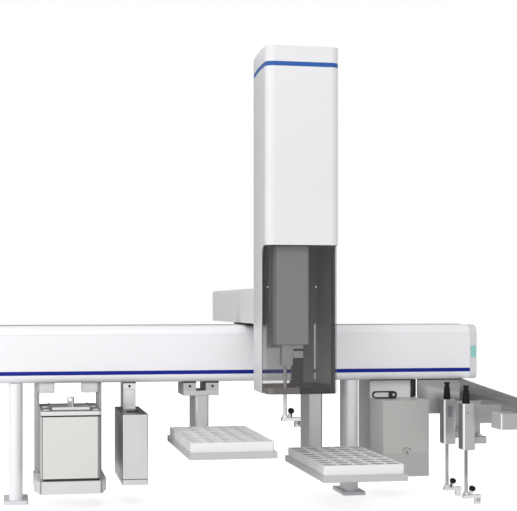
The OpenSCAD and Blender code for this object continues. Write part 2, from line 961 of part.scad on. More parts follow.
module agitator_block() {
    color("darkgray") place()
        difference() {
            union() {
                rod(agitator_x, block_y, block_bottom, block_d, block_h);
                rod(agitator_x, block_y, agitator_floor_z - 2, spindle_d, agitator_wall + 3);
            }
            for (well = [0 : block_wells - 1])
                translate([agitator_x, block_y, block_bottom + 8])
                    rotate([0, 0, well * 360 / block_wells - 90])
                        translate([block_pcd / 2, 0, 0])
                            cylinder(h = block_h, d = vial_d + 0.6);
        }
}

module heater_bracket() {
    color("silver") place()
        difference() {
            block(heater_x - heater_post_w / 2, heater_post_y, heater_top,
                heater_post_w, heater_post_d, beam_lift - heater_top);
            block(heater_x - heater_post_w / 2 + panel_inset, heater_post_y - over, heater_top + panel_inset,
                heater_post_w - 2 * panel_inset, 2 + over, beam_lift - heater_top - 6 * panel_inset);
        }
}

module heater_housing() {
    left = heater_x - heater_w / 2;
    color("gainsboro") place()
        difference() {
            union() {
                difference() {
                    soft_block(left, -heater_reach, heater_lift, heater_w, heater_d, heater_h, heater_r);
                    block(left + heater_wall, -heater_reach + heater_wall, heater_lift - over,
                        heater_w - 2 * heater_wall, heater_d - 2 * heater_wall,
                            heater_h - heater_wall + over);
                }
                rod(heater_x, -well_y, heater_top - well_depth - heater_wall,
                    well_d + 2 * heater_wall, well_depth + heater_wall);
                rod(heater_x, -well_y, heater_top - over, well_d + 2 * heater_wall, collar_h + over);
            }
            rod(heater_x, -well_y, heater_top - well_depth, well_d, well_depth + collar_h + over);
            difference() {
                block(left - over, -heater_reach - over, heater_lift + heater_foot_h,
                    heater_w + 2 * over, heater_d + 2 * over, groove_h);
                block(left + groove_depth, -heater_reach + groove_depth, heater_lift,
                    heater_w - 2 * groove_depth, heater_d - 2 * groove_depth, heater_h);
            }
        }
}

module tray_hangers() {
    color("silver") place()
        for (i = [0, 1])
            translate([tray_xs[i] + post_shifts[i], 0, 0]) {
                clamp_z = beam_lift - clamp_h;
                post_top = clamp_z + crossbar_h;
                post_left = post_offset - post_w / 2;
                difference() {
                    union() {
                        soft_block(post_left, post_y, tray_zs[i], post_w, post_d,
                            post_top - tray_zs[i] - over, post_r);
                        block(post_left + post_wall, 0, tray_zs[i], post_w - 2 * post_wall,
                            post_y + post_wall / 2, tray_h);
                        block(-clamp_w / 2, clamp_y, clamp_z, clamp_w, clamp_d, crossbar_h);
                    }
                    soft_block(post_left + post_wall, post_y + post_wall, tray_zs[i] - over,
                        post_w - 2 * post_wall, post_d - 2 * post_wall, clamp_z - tray_zs[i] + over,
                        post_r - post_wall / 2);
                }
                for (side = [-1, 1])
                    mirror_at(0, side)
                        block(clamp_w / 2 - clamp_block_w, clamp_y, clamp_z + crossbar_h,
                            clamp_block_w, clamp_d, clamp_h - crossbar_h);
            }
}

module tray_plates() {
    color("lightgray") place()
        for (i = [0, 1])
            difference() {
                block(tray_xs[i] - tray_w / 2, -tray_d, tray_zs[i], tray_w, tray_d, tray_h);
                block(tray_xs[i] - tray_w / 2 + tray_side, tray_end - tray_d, tray_zs[i] + tray_floor,
                    tray_w - 2 * tray_side, tray_d - 2 * tray_end, tray_h);
            }
}

// The three racks of a tray, each with its grid of vial holes
module racks(x, tray_z) {
    bottom = tray_z + tray_floor;
    for (k = [0 : 2]) {
        front = tray_end + rack_gap - tray_d + k * (rack_d + rack_gap);
        difference() {
            soft_block(x - rack_w / 2, front, bottom, rack_w, rack_d, rack_h, rack_r);
            for (col = [0 : vial_cols - 1], row = [0 : vial_rows - 1])
                rod(x + (col - (vial_cols - 1) / 2) * vial_pitch_x,
                    front + rack_d / 2 + (row - (vial_rows - 1) / 2) * vial_pitch_y,
                    bottom + rack_h - vial_depth, vial_d, vial_depth + over);
        }
    }
}

module left_racks() {
    color("white") place()
        racks(tray_left_x, tray_left_z);
}

module right_racks() {
    color("white") place()
        racks(tray_right_x, tray_right_z);
}

module conditioner_bracket() {
    left = conditioner_x - conditioner_w / 2;
    color("gray") place()
        difference() {
            block(left, conditioner_rear, conditioner_lift,
                conditioner_w, conditioner_back_d, beam_lift - conditioner_lift);
            block(left + conditioner_wall, conditioner_rear + conditioner_wall,
                conditioner_lift + conditioner_wall, conditioner_w - 2 * conditioner_wall,
                conditioner_back_d, beam_lift - conditioner_lift - 2 * conditioner_wall);
        }
}

module conditioner_housing() {
    left = conditioner_x - conditioner_w / 2;
    ear_y = lever_y + lever_t + run_gap;
    color("silver") place() {
        difference() {
            soft_block(left, conditioner_front, conditioner_lift,
                conditioner_w, conditioner_d, conditioner_h, conditioner_r);
            block(left + conditioner_wall, conditioner_front + conditioner_wall, conditioner_lift - over,
                conditioner_w - 2 * conditioner_wall, conditioner_d - 2 * conditioner_wall,
                conditioner_h - conditioner_wall + over);
            rod_back(adjuster_x, conditioner_front - over, conditioner_lift + adjuster_rise,
                adjuster_d / 2 + 2 * shaft_fit, conditioner_wall + 2 * over);
        }
        block(lever_x - lever_h / 2, ear_y, conditioner_top, lever_h, lever_ear_t,
            lever_z + pivot_d - conditioner_top);
        rod_back(lever_x, lever_y - 1, lever_z, pivot_d, ear_y - lever_y + 1);
    }
}

module conditioner_lever() {
    color("black") place()
        difference() {
            along_y(lever_y, lever_t)
                translate([lever_x, lever_z])
                    difference() {
                        lever_bar(0);
                        intersection() {
                            lever_bar(lever_rim);
                            translate([-lever_len - lever_h, -lever_h])
                                square([lever_len + lever_h / 2 - 1, 2 * lever_h]);
                        }
                    }
            rod_back(lever_x, lever_y - over, lever_z, pivot_d + 2 * shaft_fit, lever_t + 2 * over);
        }
}

// The lever's outline in X and Z about its pivot, drawn in by inset
module lever_bar(inset) {
    translate([-lever_len, inset - lever_h / 2])
        square([lever_len, lever_h - 2 * inset]);
    for (x = [-lever_len, 0])
        translate([x, 0])
            circle(r = lever_h / 2 - inset);
}

module flow_adjuster() {
    z = conditioner_lift + adjuster_rise;
    color("dimgray") place()
        difference() {
            union() {
                rod_back(adjuster_x, conditioner_front - run_gap - dial_t, z, adjuster_d, dial_t);
                rod_back(adjuster_x, conditioner_front - run_gap - 1, z, adjuster_d / 2,
                    conditioner_wall + run_gap + 2);
            }
            block(adjuster_x - adjuster_d, conditioner_front - run_gap - dial_t - over, z - 0.6,
                2 * adjuster_d, 1 + over, 1.2);
        }
}

module park_arm() {
    rear = park_back_y + sheet_t;
    color("silver") place() {
        block(park_back_x, park_back_y, beam_lift - park_back_h, park_back_w, sheet_t, park_back_h);
        along_x(park_side_x, sheet_t)
            polygon([
                [rear, beam_lift], [rear, beam_lift - park_back_h],
                [wash_d - park_reach, park_front_z], [-park_reach, park_front_z],
                [-park_reach, park_front_z + park_front_h], [park_break_y, beam_lift]
            ]);
    }
}

module park_clips() {
    color("lightgray") place() {
        for (y = park_ys) {
            block(park_x, y + clip_y, clip_z, park_side_x - park_x, sheet_t, clip_h);
            block(clip_bar_x, y + clip_y, clip_foot_z, clip_bar_w, sheet_t, clip_z - clip_foot_z + over);
            block(body_right + run_gap, y - clip_foot_reach, clip_foot_z,
                clip_foot_w, clip_foot_reach + clip_y + sheet_t, clip_foot_h);
        }
        difference() {
            soft_block(wash_x - wash_w / 2, -park_reach, park_front_z - wash_h, wash_w, wash_d, wash_h, 3);
            for (x = wash_well_xs)
                rod(x, wash_d / 2 - park_reach, park_front_z - wash_h + 6, wash_well_d, wash_h);
        }
    }
}

// A parked tool: body with its guide rod and the lug that sits on the clip's foot
module parked_body(y) {
    color("silver") place() {
        difference() {
            intersection() {
                soft_block(body_left, y - body_d / 2, park_lift, body_w, body_d, body_h, body_r);
                along_y(y - body_d, 2 * body_d)
                    translate([body_left, park_lift])
                        soft_rect(body_w, body_h + 2 * body_foot_r, body_foot_r, body_foot_r);
            }
            rod(park_x, y, grip_z - plunger_depth, grip_stem_d + 2 * shaft_fit, plunger_depth + over);
        }
        rod(park_x, y, parked_guide_z - 1, rod_d, parked_rod_len + 2);
        block(body_right - over, y - 4, clip_foot_z + clip_foot_h, lug_len + over, 8, lug_h);
    }
}

// The black grip on a parked tool's plunger
module parked_plunger(y) {
    head_h = 4;
    neck_h = 2;
    cone_h = grip_h - head_h - neck_h;
    color("black") place()
        translate([park_x, y, grip_z + run_gap]) {
            cylinder(h = cone_h, d1 = grip_d, d2 = grip_top_d);
            translate([0, 0, cone_h - over])
                cylinder(h = neck_h + 2 * over, d = grip_neck_d);
            translate([0, 0, cone_h + neck_h - run_gap])
                cylinder(h = head_h, d = grip_head_d);
            translate([0, 0, 4 - plunger_depth])
                cylinder(h = plunger_depth, d = grip_stem_d);
        }
}

// The needle guide on a rod at x and y, with its underside at z
module guide(x, y, z) {
    post_x = x + knob_offset;
    post_w = stem_d + 2;
    color("lightgray") place()
        difference() {
            union() {
                soft_block(x - guide_end, y - guide_d / 2, z,
                    needle_offset + guide_end + stop_d / 2, guide_d, guide_t, 2);
                rod(x, y, z + guide_t - over, rod_d + 4, 4 + over);
                rod(x + needle_offset, y, z - stop_len, stop_d, stop_len + over);
                block(post_x - post_w / 2, y - post_w / 2, z + guide_t - over,
                    post_w, post_w, knob_rise + post_w / 2 + over);
            }
            rod(x, y, z - over, rod_d + 2 * shaft_fit, guide_t + 4 + 2 * over);
            rod(x + needle_offset, y, z - stop_len - over, stop_d - 5, stop_len + guide_t + 2 * over);
            block(x + needle_offset - stop_d, y - stop_d / 5, z - stop_len - over,
                2 * stop_d, 2 * stop_d / 5, stop_len - 2 + over);
            rod_back(post_x, y - post_w, z + guide_t + knob_rise, stem_d + 2 * shaft_fit, 2 * post_w);
        }
}

// The clamp knob of the needle guide at x, y and z
module knob(x, y, z) {
    face_y = y - stem_d / 2 - 1 - run_gap;
    knob_z = z + guide_t + knob_rise;
    color("black") place() {
        difference() {
            rod_back(x + knob_offset, face_y - knob_l, knob_z, knob_d, knob_l);
            for (turn = [0 : 45 : 315])
                translate([x + knob_offset, 0, knob_z])
                    rotate([0, turn, 0])
                        translate([knob_d / 2 + 0.3, face_y - knob_l - over, 0])
                            rotate([-90, 0, 0])
                                cylinder(h = knob_l - 1 + over, d = 1.6, $fn = 16);
        }
        rod_back(x + knob_offset, face_y - over, knob_z, stem_d, stem_d + 2 + 2 * run_gap + over);
    }
}

module tool_1_body() {
    parked_body(park_ys[0]);
}

module tool_1_plunger() {
    parked_plunger(park_ys[0]);
}

module tool_1_guide() {
    guide(park_x, park_ys[0], parked_guide_z);
}

module tool_1_knob() {
    knob(park_x, park_ys[0], parked_guide_z);
}

module tool_2_body() {
    parked_body(park_ys[1]);
}

module tool_2_plunger() {
    parked_plunger(park_ys[1]);
}

module tool_2_guide() {
    guide(park_x, park_ys[1], parked_guide_z);
}

module tool_2_knob() {
    knob(park_x, park_ys[1], parked_guide_z);
}

module x_carriage() {
    runner_w = rail_w + 2 * runner_wall;
    left = arm_x - carriage_len / 2;
    lug_w = 30;
    nut_margin = 20;
    strand_z = belt_z + pulley_r + free_gap;
    color("black") place()
        difference() {
            union() {
                block(left, slot_y - runner_w / 2, floor_z + 3, carriage_len, runner_w,
                    runner_top - floor_z - 3);
                block(left, slot_y - neck_t / 2, runner_top - over, carriage_len, neck_t,
                    deck_z - runner_top + 2 * over);
                block(arm_x - lug_w / 2, slot_y, strand_z - 6, lug_w, belt_y + belt_w / 2 + 3 - slot_y, 14);
                block(arm_x - arm_w / 2 + 4, 0, deck_z, arm_w - 8, deck_rear, deck_t);
                block(arm_x - mast_w / 2, mast_y, deck_z, mast_w, mast_len, mast_floor_z - deck_z);
                block(y_rail_x - rail_w / 2 - 8, mast_y, mast_floor_z - over, rail_w + 16, mast_len,
                    plate_z - 1.5 - mast_floor_z + over);
                block(screw_x - screw_d / 2 - 5, mast_y + nut_margin, mast_floor_z - over, screw_d + 10,
                    mast_len - 2 * nut_margin,
                    screw_z + screw_d / 2 + 5 - mast_floor_z + over);
            }
            block(left - over, slot_y - rail_w / 2 - run_gap, floor_z, carriage_len + 2 * over,
                rail_w + 2 * run_gap, rail_h + run_gap);
            block(arm_x - lug_w, belt_y - belt_w / 2 - free_gap, strand_z - free_gap, 2 * lug_w,
                belt_w + 2 * free_gap, belt_t + 2 * free_gap);
            block(y_rail_x - rail_w / 2 - run_gap, mast_y - over, y_rail_z - run_gap, rail_w + 2 * run_gap,
                mast_len + 2 * over, rail_h + over);
            rod_back(screw_x, mast_y - over, screw_z, screw_d + 2 * free_gap, mast_len + 2 * over);
        }
}

module arm_frame() {
    half = arm_w / 2 - arm_wall - 2.5;
    color("gray") place()
        difference() {
            union() {
                block(arm_x - half, arm_front, plate_z, 2 * half, plate_rear - arm_front, plate_t);
                for (y = [arm_front, bulkhead_y])
                    block(arm_x - half, y, arm_bottom + 1, 2 * half, bulkhead_t,
                        plate_z - arm_bottom - 1 + over);
            }
            rod_back(screw_x, arm_front + 2, screw_z, screw_d + 2 * shaft_fit, arm_tail - arm_front);
        }
}

module arm_cover() {
    color("gainsboro") place()
        difference() {
            along_y(arm_front, arm_tail - arm_front)
                translate([arm_x - arm_w / 2, arm_bottom])
                    soft_rect(arm_w, arm_h, 0.5, arm_edge_r);
            along_y(arm_front - over, arm_tail - arm_front - arm_wall + over)
                translate([arm_x - arm_w / 2 + arm_wall, arm_bottom - over])
                    soft_rect(arm_w - 2 * arm_wall, arm_h - arm_wall + over, 0.5, arm_edge_r - arm_wall);
        }
}

module y_guide_rail() {
    color("silver") place()
        block(y_rail_x - rail_w / 2, arm_front + bulkhead_t, y_rail_z, rail_w,
            bulkhead_y - arm_front - bulkhead_t, rail_h);
}

module y_motor() {
    color("dimgray") place()
        difference() {
            soft_square_y(screw_x, bulkhead_y + bulkhead_t, screw_z, motor_w, motor_l);
            rod_back(screw_x, bulkhead_y, screw_z, screw_d + 2 * shaft_fit, bulkhead_t + motor_l / 2);
        }
}

module y_lead_screw() {
    start = arm_front + 2.5;
    color("silver") place()
        rod_back(screw_x, start, screw_z, screw_d, bulkhead_y + bulkhead_t + motor_l / 3 - start);
}

module head_frame() {
    shelf_d = z_screw_y - motor_w / 2;
    strip_left = needle_x + 16;
    strip_right = arm_x + rear_half - head_wall - 4;
    color("gainsboro") place()
        difference() {
            union() {
                translate([0, 0, head_bottom])
                    linear_extrude(head_top - head_wall - head_bottom)
                        intersection() {
                            head_outline(head_wall + 0.2);
                            translate([arm_x - head_w, spine_y])
                                square([2 * head_w, spine_t]);
                        }
                block(z_screw_x - motor_w / 2, shelf_d, shelf_z, motor_w, spine_y - shelf_d + over, shelf_t);
                block(z_screw_x - screw_d, z_screw_y - screw_d, lug_z, 2 * screw_d,
                    spine_y - z_screw_y + screw_d + over, lug_t);
            }
            block(arm_x - head_w, spine_y - over, head_bottom - over,
                strip_left - arm_x + head_w, spine_t + 2 * over, arm_bottom - head_bottom + over);
            block(strip_right, spine_y - over, head_bottom - over,
                head_w, spine_t + 2 * over, arm_bottom - head_bottom + over);
            rod(z_screw_x, z_screw_y, lug_z + 1.5, screw_d + 2 * shaft_fit, shelf_z - lug_z + shelf_t);
        }
}

module head_cover() {
    color("white") place()
        difference() {
            translate([0, 0, head_bottom])
                linear_extrude(head_top - head_bottom)
                    head_outline(0);
            translate([0, 0, head_bottom - over])
                linear_extrude(head_top - head_wall - head_bottom + over)
                    head_cavity();
            hood_zone(0);
            translate([0, 0, band_z])
                linear_extrude(band_h)
                    band_ring();
        }
}

// The space inside the head's shell, open to the rear
module head_cavity() {
    head_outline(head_wall);
    translate([arm_x - rear_half + head_wall, arm_front - 2 * head_wall])
        square([2 * (rear_half - head_wall), 2 * head_wall + over]);
}

// The ring that the coloured band fills, short of the spine
module band_ring() {
    difference() {
        head_outline(0);
        head_outline(band_t);
        translate([arm_x - head_w, spine_y])
            square([2 * head_w, head_d]);
    }
}

// The part of the head's front that the hood takes up, lowered by gap at its edges
module hood_zone(gap) {
    along_x(arm_x - head_w, 2 * head_w)
        translate([head_front - hood_d, head_bottom - over])
            soft_rect(2 * hood_d - gap, hood_h + over - gap, 0.5, hood_r);
}

module head_band() {
    color("royalblue") place()
        translate([0, 0, band_z])
            linear_extrude(band_h)
                band_ring();
}

module hood() {
    color("dimgray", 0.6) place()
        intersection() {
            translate([0, 0, head_bottom])
                linear_extrude(head_top - head_bottom)
                    difference() {
                        head_outline(hood_step);
                        head_outline(hood_step + head_wall);
                    }
            hood_zone(0.2);
        }
}

module head_base() {
    color("gray") place()
        translate([0, 0, head_bottom])
            linear_extrude(rim_h)
                difference() {
                    head_outline(head_wall);
                    head_outline(head_wall + rim_w);
                    translate([arm_x - head_w, spine_y])
                        square([2 * head_w, head_d]);
                    difference() {
                        translate([arm_x - head_w, head_front - over])
                            square([2 * head_w, hood_d + over]);
                        head_outline(hood_step + head_wall);
                    }
                }
}

module z_guide_rail() {
    color("silver") place()
        block(needle_x - rail_w / 2, spine_y - rail_h, z_rail_bottom, rail_w, rail_h,
            z_rail_top - z_rail_bottom);
}

module z_motor() {
    base = shelf_z + shelf_t;
    color("dimgray") place()
        difference() {
            soft_block(z_screw_x - motor_w / 2, z_screw_y - motor_w / 2, base,
                motor_w, motor_w, motor_l, motor_w / 10);
            rod(z_screw_x, z_screw_y, base - over, screw_d + 2 * shaft_fit, motor_l / 2 + over);
        }
}

module z_lead_screw() {
    start = lug_z + 2;
    color("silver") place()
        rod(z_screw_x, z_screw_y, start, screw_d, shelf_z + shelf_t + motor_l / 3 - start);
}

module z_carriage() {
    runner_w = rail_w + 2 * runner_wall;
    nut_h = 30;
    nut_w = 2 * (z_screw_x - shroud_left - shroud_w) - 6;
    color("darkgray") place()
        difference() {
            union() {
                block(needle_x - runner_w / 2, runner_front, z_runner_z, runner_w,
                    spine_y - 1 - runner_front, z_runner_h);
                block(saddle_left, saddle_front, saddle_z, saddle_w, saddle_t + 0.5, saddle_h);
                block(needle_x, saddle_front, z_runner_z + 20, z_screw_x - needle_x, nut_w / 2, nut_h);
                block(z_screw_x - nut_w / 2, z_screw_y - nut_w / 2, z_runner_z + 20, nut_w, nut_w, nut_h);
            }
            block(needle_x - rail_w / 2 - run_gap, spine_y - rail_h - run_gap, head_bottom,
                rail_w + 2 * run_gap, rail_h + spine_t, head_top - head_bottom);
            rod(z_screw_x, z_screw_y, z_runner_z, screw_d + 2 * free_gap, z_runner_h);
        }
}

module carriage_cover() {
    front = saddle_front - shroud_d;
    color("lightgray") place()
        difference() {
            soft_block(shroud_left, front, shroud_z, shroud_w, shroud_d + 3, shroud_h, 3);
            block(shroud_left + shroud_wall, front + shroud_wall, shroud_z - over,
                shroud_w - 2 * shroud_wall, shroud_d + 3, shroud_h - shroud_wall + over);
            block(shroud_left - over, saddle_front, shroud_z - over,
                shroud_w + 2 * over, 4, shroud_h + 2 * over);
        }
}

module tool_body() {
    stem_w = needle_offset - holder_w / 2 + rod_d / 2 + 4;
    left = rod_x - rod_d / 2 - 4;
    right = needle_x + holder_w / 2;
    front = tool_y - tool_t / 2;
    color("silver") place()
        difference() {
            union() {
                soft_block(left, front, block_z, right - left, tool_t, tool_block_h, 2);
                soft_block(left, front, stem_z, stem_w, tool_t, block_z - stem_z + 4, 2);
                soft_block(needle_x - holder_w / 2, front, holder_z, holder_w, tool_t,
                    block_z - holder_z + 4, 2);
                block(rod_x, tool_y, block_z + 18, right - rod_x, saddle_front - tool_y, 20);
                rod(rod_x, tool_y, guide_z - 1, rod_d, rod_len + 3);
            }
            rod(needle_x, tool_y, holder_z - over, barrel_d + 2 * shaft_fit, block_z + tool_block_h);
        }
}

module syringe() {
    color("lightcyan", 0.6) place()
        difference() {
            union() {
                rod(needle_x, tool_y, barrel_z, barrel_d, barrel_len);
                rod(needle_x, tool_y, barrel_z - hub_h, barrel_d - 2, hub_h + over);
                rod(needle_x, tool_y, guide_z + 1, needle_d, barrel_z - guide_z);
            }
            rod(needle_x, tool_y, barrel_z + 4, barrel_bore, barrel_len);
        }
}

module plunger() {
    top = barrel_z + barrel_len;
    color("dimgray") place() {
        rod(needle_x, tool_y, barrel_z + 6, barrel_bore - 2 * shaft_fit, 10);
        rod(needle_x, tool_y, barrel_z + 15, barrel_bore - 2, barrel_len - 14);
        rod(needle_x, tool_y, top + free_gap, button_d, 6);
    }
}

module needle_guide() {
    guide(rod_x, tool_y, guide_z);
}

module guide_knob() {
    knob(rod_x, tool_y, guide_z);
}

beam_extrusion();
beam_top_cover();
beam_stripe();
end_caps();
status_light();
x_guide_rail();
x_belt();
x_motor();
power_unit();
legs();
foot_plates();
agitator_bracket();
agitator_base();
agitator_housing();
agitator_top_plate();
heater_bracket();
heater_housing();
tray_hangers();
tray_plates();
conditioner_bracket();
conditioner_housing();
park_arm();
park_clips();
x_drive_pulley();
x_idler_pulley();
agitator_shutter();
agitator_block();
left_racks();
right_racks();
conditioner_lever();
flow_adjuster();
tool_1_body();
tool_1_plunger();
tool_1_guide();
tool_1_knob();
tool_2_body();
tool_2_plunger();
tool_2_guide();
tool_2_knob();
x_carriage();
arm_frame();
arm_cover();
y_guide_rail();
y_motor();
y_lead_screw();
head_frame();
head_cover();
head_band();
head_base();
hood();
z_guide_rail();
z_motor();
z_lead_screw();
z_carriage();
carriage_cover();
tool_body();
syringe();
plunger();
needle_guide();
guide_knob();
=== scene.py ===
import json
from math import cos, pi, radians, sin

import bmesh
import bpy
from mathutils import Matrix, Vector

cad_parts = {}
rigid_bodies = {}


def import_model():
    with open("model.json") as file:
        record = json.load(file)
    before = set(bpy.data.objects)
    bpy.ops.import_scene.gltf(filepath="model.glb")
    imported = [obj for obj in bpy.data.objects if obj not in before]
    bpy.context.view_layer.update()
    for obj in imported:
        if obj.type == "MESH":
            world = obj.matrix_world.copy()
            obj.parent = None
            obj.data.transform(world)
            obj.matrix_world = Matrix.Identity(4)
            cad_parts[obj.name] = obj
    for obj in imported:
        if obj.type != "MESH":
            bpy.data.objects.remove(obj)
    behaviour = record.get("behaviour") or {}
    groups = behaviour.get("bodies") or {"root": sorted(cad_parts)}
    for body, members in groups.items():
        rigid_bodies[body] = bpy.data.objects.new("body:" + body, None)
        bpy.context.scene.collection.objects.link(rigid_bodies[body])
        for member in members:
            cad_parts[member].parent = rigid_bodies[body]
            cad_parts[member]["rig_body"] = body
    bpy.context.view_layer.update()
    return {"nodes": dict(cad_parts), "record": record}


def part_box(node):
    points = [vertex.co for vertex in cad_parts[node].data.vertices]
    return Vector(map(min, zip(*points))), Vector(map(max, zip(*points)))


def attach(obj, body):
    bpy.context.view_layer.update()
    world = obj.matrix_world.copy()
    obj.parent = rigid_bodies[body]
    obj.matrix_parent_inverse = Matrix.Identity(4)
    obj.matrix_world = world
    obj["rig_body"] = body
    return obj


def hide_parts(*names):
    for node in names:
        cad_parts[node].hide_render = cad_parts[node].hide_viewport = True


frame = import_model()

# Studio. Not part of the autosampler: a pale floor, a large soft lamp in front and a smaller one at the
# left, a dark flag behind that the metal can reflect, and the camera where the photograph was taken from.
scene = bpy.context.scene
scene.view_settings.view_transform = "Standard"
mm = 0.001
beam_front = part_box("beam_extrusion")[0].y


def spot(x, y, z):
    """A point in millimetres: x from the beam's middle, y from its front face, z from the bench."""
    return Vector((x * mm, beam_front + y * mm, z * mm))


class Sock:
    """A shader socket that can stand in a sum, and that other nodes are hung on."""

    def __init__(self, tree, socket):
        self.tree, self.socket = tree, socket

    def node(self, kind, settings, links, out=0):
        """Adds a node: its settings first, then its sockets. Gives back one of its outputs."""
        made = self.tree.nodes.new(kind)
        for name, value in settings.items():
            setattr(made, name, value)
        for name, value in links.items():
            if isinstance(value, Sock):
                self.tree.links.new(value.socket, made.inputs[name])
            else:
                made.inputs[name].default_value = value
        return Sock(self.tree, made.outputs[out])

    def sum(self, operation, first, second):
        return self.node("ShaderNodeMath", {"operation": operation}, {0: first, 1: second})

    def __add__(self, other):
        return self.sum("ADD", self, other)

    def __radd__(self, other):
        return self.sum("ADD", other, self)

    def __sub__(self, other):
        return self.sum("SUBTRACT", self, other)

    def __rsub__(self, other):
        return self.sum("SUBTRACT", other, self)

    def __mul__(self, other):
        return self.sum("MULTIPLY", self, other)

    def __rmul__(self, other):
        return self.sum("MULTIPLY", other, self)

    def __gt__(self, other):
        return self.sum("GREATER_THAN", self, other)

    def __lt__(self, other):
        return self.sum("LESS_THAN", self, other)

    def into(self, shader, name):
        self.tree.links.new(self.socket, shader.inputs[name])


def seen_rays(tree):
    """1 for rays from the camera, from metal and from glass, and 0 for the light that falls on things."""
    path = tree.nodes.new("ShaderNodeLightPath")
    kinds = [Sock(tree, path.outputs[f"Is {kind} Ray"]) for kind in ("Camera", "Glossy", "Transmission")]
    either = kinds[0] + kinds[1] + kinds[2]
    return either.sum("MINIMUM", either, 1)


def show(name, mesh):
    made = bpy.data.objects.new(name, mesh)
    scene.collection.objects.link(made)
    return made


ambient, floor_glow = 0.6, 0.7
scene.world = bpy.data.worlds.new("studio")
scene.world.use_nodes = True
sky = scene.world.node_tree.nodes["Background"]
sky.inputs["Color"].default_value = (1, 1, 1, 1)
(ambient + (1 - ambient) * seen_rays(scene.world.node_tree)).into(sky, "Strength")

floor_finish = bpy.data.materials.new("pale_floor")
floor_finish.use_nodes = True
floor_shader = floor_finish.node_tree.nodes["Principled BSDF"]
floor_shader.inputs["Base Color"].default_value = (0.8, 0.8, 0.8, 1)
floor_shader.inputs["Roughness"].default_value = 0.9
floor_shader.inputs["Specular IOR Level"].default_value = 0
floor_shader.inputs["Emission Color"].default_value = (1, 1, 1, 1)
(floor_glow * seen_rays(floor_finish.node_tree)).into(floor_shader, "Emission Strength")
flag_finish = bpy.data.materials.new("dark_flag")
flag_finish.use_nodes = True
flag_shader = flag_finish.node_tree.nodes["Principled BSDF"]
flag_shader.inputs["Base Color"].default_value = (0.22, 0.22, 0.22, 1)
flag_shader.inputs["Specular IOR Level"].default_value = 0


def sheet(name, corners, finish):
    """A flat sheet of the studio."""
    mesh = bpy.data.meshes.new(name)
    mesh.from_pydata(corners, [], [(0, 1, 2, 3)])
    mesh.materials.append(finish)
    made = show(name, mesh)
    return made


def rectangle(low, high):
    """The four corners of a rectangle, counted round from its low corner."""
    return (low, (high[0], low[1]), high, (low[0], high[1]))


floor_z, floor_half = -0.5 * mm, 20
flag_y = 0.45
floor_corners = rectangle((-floor_half, -floor_half), (floor_half, floor_half))
sheet("floor", [(x, y, floor_z) for x, y in floor_corners], floor_finish)
flag = sheet("flag", [(x, flag_y, z) for x, z in rectangle((-0.7, 0), (0.4, 0.85))], flag_finish)
flag.visible_camera = False
flag.visible_diffuse = False
flag.visible_shadow = False

lamp_aim = Vector((0, 0, 0.3))
for name, place, wide, high, watts in (
    ("front_box", (-1.0, -3.5, 2.3), 2.6, 1.8, 66),
    ("left_box", (-2.9, -1.6, 1.0), 1.0, 1.8, 19),
):
    lamp_data = bpy.data.lights.new(name, "AREA")
    lamp_data.shape = "RECTANGLE"
    lamp_data.size, lamp_data.size_y = wide, high
    lamp_data.energy = watts
    lamp = show(name, lamp_data)
    lamp.location = place
    lamp.rotation_euler = (lamp_aim - lamp.location).to_track_quat("-Z", "Y").to_euler()

camera_turn = -0.188
camera_data = bpy.data.cameras.new("camera")
camera_data.sensor_width = 36
camera_data.lens = 89.51
camera_data.shift_y = 0.0964
camera = show("camera", camera_data)
camera.location = spot(-384.94, -2175.9, 331.23)
camera.rotation_euler = (pi / 2, 0, camera_turn)
scene.camera = camera


# Beam. A drawn aluminium section with a floor and two walls, powder coated in a cool white, closed by
# two cover strips that make the rounded shoulder. Every drawn or folded edge is broken by hand.
slot_of = {part["node"]: part["material_slot"] for part in frame["record"]["subparts"]}


def settled(piece, body, slot, *nodes):
    """Hangs a finished piece on its body and hides the CAD nodes it stands for."""
    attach(piece, body)
    if nodes:
        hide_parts(*nodes)


def smooth(mesh, finish, angle=50):
    mesh.materials.clear()
    mesh.materials.append(finish)
    mesh.shade_smooth()
    mesh.set_sharp_from_angle(angle=radians(angle))


def eased(node, finish, edge=0.5):
    """The CAD node again with its sharp outer edges broken, edge millimetres wide."""
    weld, flat, sharp_from = 1e-6, 0.0015, radians(32)
    source = frame["nodes"][node]
    shape = bmesh.new()
    shape.from_mesh(source.data)
    bmesh.ops.remove_doubles(shape, verts=shape.verts, dist=weld)
    bmesh.ops.dissolve_limit(shape, angle_limit=flat, verts=shape.verts, edges=shape.edges)
    sharp = [e for e in shape.edges
             if e.is_manifold and e.is_convex and e.calc_face_angle(0) > sharp_from]
    bmesh.ops.bevel(shape, geom=sharp, offset=edge * mm, offset_type="OFFSET", segments=2, profile=0.5,
                    affect="EDGES", clamp_overlap=True)
    mesh = bpy.data.meshes.new(f"{node}_eased")
    shape.to_mesh(mesh)
    shape.free()
    smooth(mesh, finish)
    piece = show(f"{node}_eased", mesh)
    piece.modifiers.new("face_weight", "WEIGHTED_NORMAL").keep_sharp = True
    settled(piece, source["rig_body"], slot_of[node], node)


def new_finish(name, constants):
    """A material with its fixed values, its shader and the place on the piece."""
    made = bpy.data.materials.new(name)
    made.use_nodes = True
    tree = made.node_tree
    shader = tree.nodes["Principled BSDF"]
    for socket, value in constants.items():
        shader.inputs[socket].default_value = value
    return made, shader, Sock(tree, tree.nodes.new("ShaderNodeTexCoord").outputs["Object"])


def noise(place, scale, stretch=(1, 1, 1), detail=3):
    drawn = place.node("ShaderNodeMapping", {}, {"Vector": place, "Scale": stretch})
    return place.node("ShaderNodeTexNoise", {}, {"Vector": drawn, "Scale": scale, "Detail": detail}, "Fac")


def shade(colour, level):
    return (colour[0] * level, colour[1] * level, colour[2] * level, 1)


